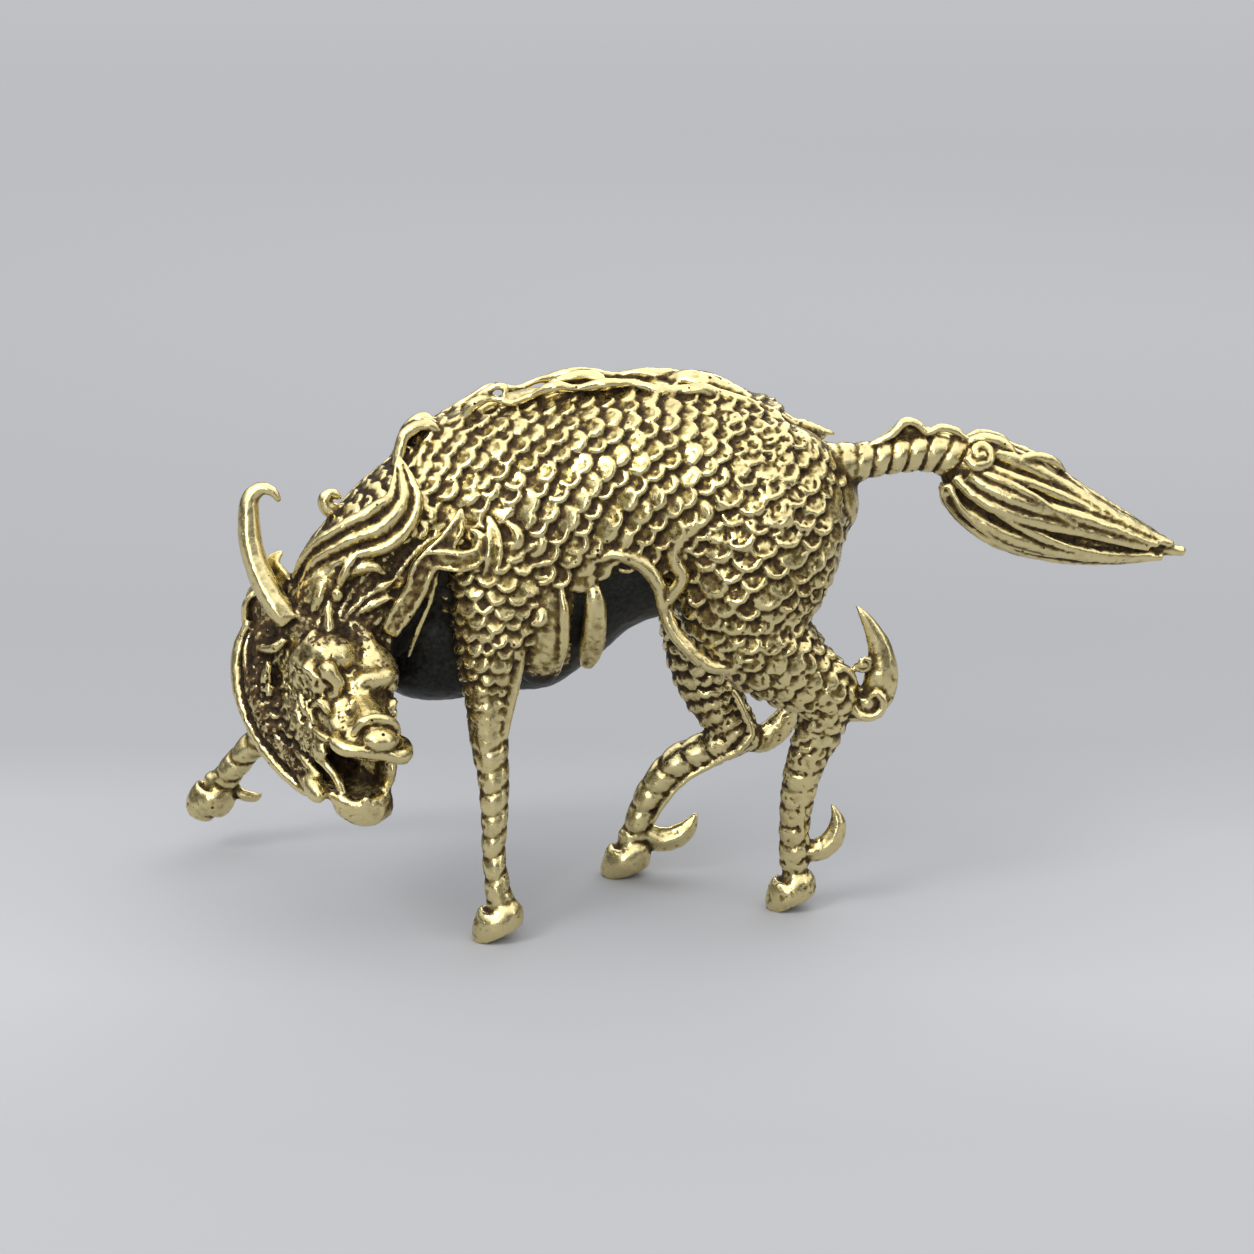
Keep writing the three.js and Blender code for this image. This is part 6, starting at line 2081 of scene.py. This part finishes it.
        # The hollow mark is patina plus painted shade beneath and on the shank sides; the mark of
        # sheltered places is painted shade, and the belly mark is patina and painted shade.
        mark(mesh, "hollow", hollow[nearest(points, thinned)])
        mark(mesh, "shelter", self._shelter(thinned, whole))
        mark(mesh, "bare", bare)
        mark(mesh, "sooty", bare * self._belly(thinned))
        mark(mesh, "mottled", self._mottled(thinned))
        low, high = np.array(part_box(NODE)[0]), np.array(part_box(NODE)[1])
        share = (high[0] - low[0]) / (DRAWN_HIGH[0] - DRAWN_LOW[0])
        mesh.polygons.foreach_set("use_smooth", np.ones(len(mesh.polygons), bool))
        move_to(mesh, (thinned - DRAWN_LOW) * share + low)
        return skin


@dataclass
class Studio:
    """Pale seamless floor, soft lights from above and a camera at the photograph's angle."""

    share: float
    paper_near: float = -0.08
    paper_far: float = 1.4
    paper_spread: float = 0.35
    # Tones of the lit floor from near to far, painted light and shade: brightest just in front of the
    # figure, darker in a band behind it, lighter far off.
    paper_tones: tuple[tuple[float, str], ...] = (
        (-0.08, "bcbdc1"), (-0.05, "c4c5c9"), (-0.02, "cfd0d4"), (0.01, "c8c9cd"), (0.03, "c4c5c9"),
        (0.05, "b7b8bc"), (0.10, "b5b6ba"), (0.28, "bdbec2"), (0.55, "c5c6ca"), (1.40, "cccdd1"),
    )
    floor_half: float = 4.0
    sight_height: float = 28.5
    sight_x: float = -5.43
    distance: float = 295.2
    elevation: float = 15.0
    lens: float = 85.0
    paper_light: float = 1.64
    room_light: float = 0.10
    ceiling_light: float = 1.7
    room_colour: Station = (0.985, 0.99, 1.0, 1.0)
    room_edge: float = 0.15
    ceiling_edge: float = 0.75

    def _in_frame(self, place: Station) -> Vector:
        """Turns a place in shares to metres of the frame."""
        low = np.array(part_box(NODE)[0])
        return Vector((np.array(place) - DRAWN_LOW) * self.share + low)

    def _paper(self, code: str) -> tuple[float, float, float, float]:
        """Turns the tone that the lit paper shows to the paper's own colour."""
        red, green, blue, _ = linear(code)
        return (red / self.paper_light, green / self.paper_light, blue / self.paper_light, 1.0)

    def floor(self) -> bpy.types.Object:
        """Lays the floor, a matt sheet whose colour holds painted light and shade, changing with
        distance.
        """
        half = self.floor_half
        corners = half * np.array([[-1.0, -1, 0], [1, -1, 0], [1, 1, 0], [-1, 1, 0]])
        sheet = mesh_object("floor", Shell(corners, np.array([[0, 1, 2, 3]]), np.empty((0, 3), int)))
        paper = bpy.data.materials.new("floor_paper")
        paper.use_nodes = True
        tree = paper.node_tree
        tree.nodes.clear()
        where = add_node(tree, "ShaderNodeTexCoord").outputs["Object"]
        depth = add_node(tree, "ShaderNodeSeparateXYZ", {0: where}).outputs["Y"]
        share = add_node(
            tree, MAP_RANGE,
            {"Value": depth, "From Min": self.paper_near, "From Max": self.paper_far},
        )
        spread = add_node(tree, MATH, {0: share, 1: self.paper_spread}, operation="POWER")
        tone = add_node(tree, "ShaderNodeValToRGB", {0: spread})
        stops = tone.color_ramp.elements
        while len(stops) > 1:
            stops.remove(stops[-1])
        stops[0].position, stops[0].color = 0.0, self._paper(self.paper_tones[0][1])
        for distance, colour in self.paper_tones[1:]:
            place = (distance - self.paper_near) / (self.paper_far - self.paper_near)
            stops.new(place**self.paper_spread).color = self._paper(colour)
        shader = add_node(tree, "ShaderNodeBsdfPrincipled", {"Base Color": tone, "Roughness": 0.9})
        add_node(tree, "ShaderNodeOutputMaterial", {"Surface": shader})
        sheet.data.materials.append(paper)
        return sheet

    def camera(self) -> None:
        """Sets the camera where the photograph was taken from."""
        tilt = math.radians(self.elevation)
        sight = (self.sight_x, 0.0, self.sight_height)
        back = (0.0, -self.distance * math.cos(tilt), self.distance * math.sin(tilt))
        data = bpy.data.cameras.new("camera")
        data.lens, data.sensor_width = self.lens, 36.0
        data.clip_start, data.clip_end = 0.01, 20.0
        obj = bpy.data.objects.new("camera", data)
        obj.location = self._in_frame(np.array(sight) + back)
        obj.rotation_euler = (math.radians(90 - self.elevation), 0.0, 0.0)
        bpy.context.scene.collection.objects.link(obj)
        bpy.context.scene.camera = obj

    def lights(self) -> None:
        """Hangs the soft boxes and sets the light of the white ceiling and the darker room."""
        boxes = (
            ("key", (-0.30, -0.26, 0.40), (0.0, 0.0, 0.02), 0.16, 0.14, 0.82),
            ("rim", (0.16, 0.34, 0.34), (0.0, 0.0, 0.03), 0.40, 0.16, 0.35),
            ("side", (0.42, -0.20, 0.16), (0.0, 0.0, 0.03), 0.10, 0.24, 0.15),
            ("front", (-0.10, -0.42, 0.15), (0.0, 0.0, 0.03), 0.16, 0.18, 0.36),
        )
        for name, place, aim, wide, tall, power in boxes:
            data = bpy.data.lights.new(name, "AREA")
            data.shape, data.size, data.size_y, data.energy = "RECTANGLE", wide, tall, power
            obj = bpy.data.objects.new(name, data)
            obj.location = place
            obj.rotation_euler = (Vector(aim) - Vector(place)).to_track_quat("-Z", "Y").to_euler()
            bpy.context.scene.collection.objects.link(obj)
        world = bpy.data.worlds.new("room")
        world.use_nodes = True
        tree = world.node_tree
        tree.nodes.clear()
        way = add_node(tree, "ShaderNodeTexCoord").outputs["Generated"]
        height = add_node(tree, "ShaderNodeSeparateXYZ", {0: way}).outputs["Z"]
        lit = add_node(
            tree, MAP_RANGE,
            {"Value": height, "From Min": self.room_edge, "From Max": self.ceiling_edge,
             "To Min": self.room_light, "To Max": self.ceiling_light},
            interpolation_type="SMOOTHSTEP",
        )
        glow = add_node(tree, "ShaderNodeBackground", {"Color": self.room_colour, "Strength": lit})
        add_node(tree, "ShaderNodeOutputWorld", {"Surface": glow})
        bpy.context.scene.world = world
        bpy.context.scene.view_settings.view_transform = "Standard"


def main() -> None:
    """Builds the casting, its stage and the camera, and reports each piece."""
    logging.basicConfig(level=logging.INFO, format="%(relativeCreated)8d ms %(message)s")
    low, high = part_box(NODE)
    share = (high.x - low.x) / (DRAWN_HIGH[0] - DRAWN_LOW[0])
    finish = CastBrass().material()
    casting = Casting(finish).build()
    if not casting.data.materials:
        casting.data.materials.append(finish)
    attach(casting, "root")
    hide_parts(NODE)
    log.info("casting: done")
    studio = Studio(share)
    studio.floor()
    studio.camera()
    studio.lights()
    log.info("studio: done")
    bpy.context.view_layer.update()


if __name__ == "__main__":
    main()
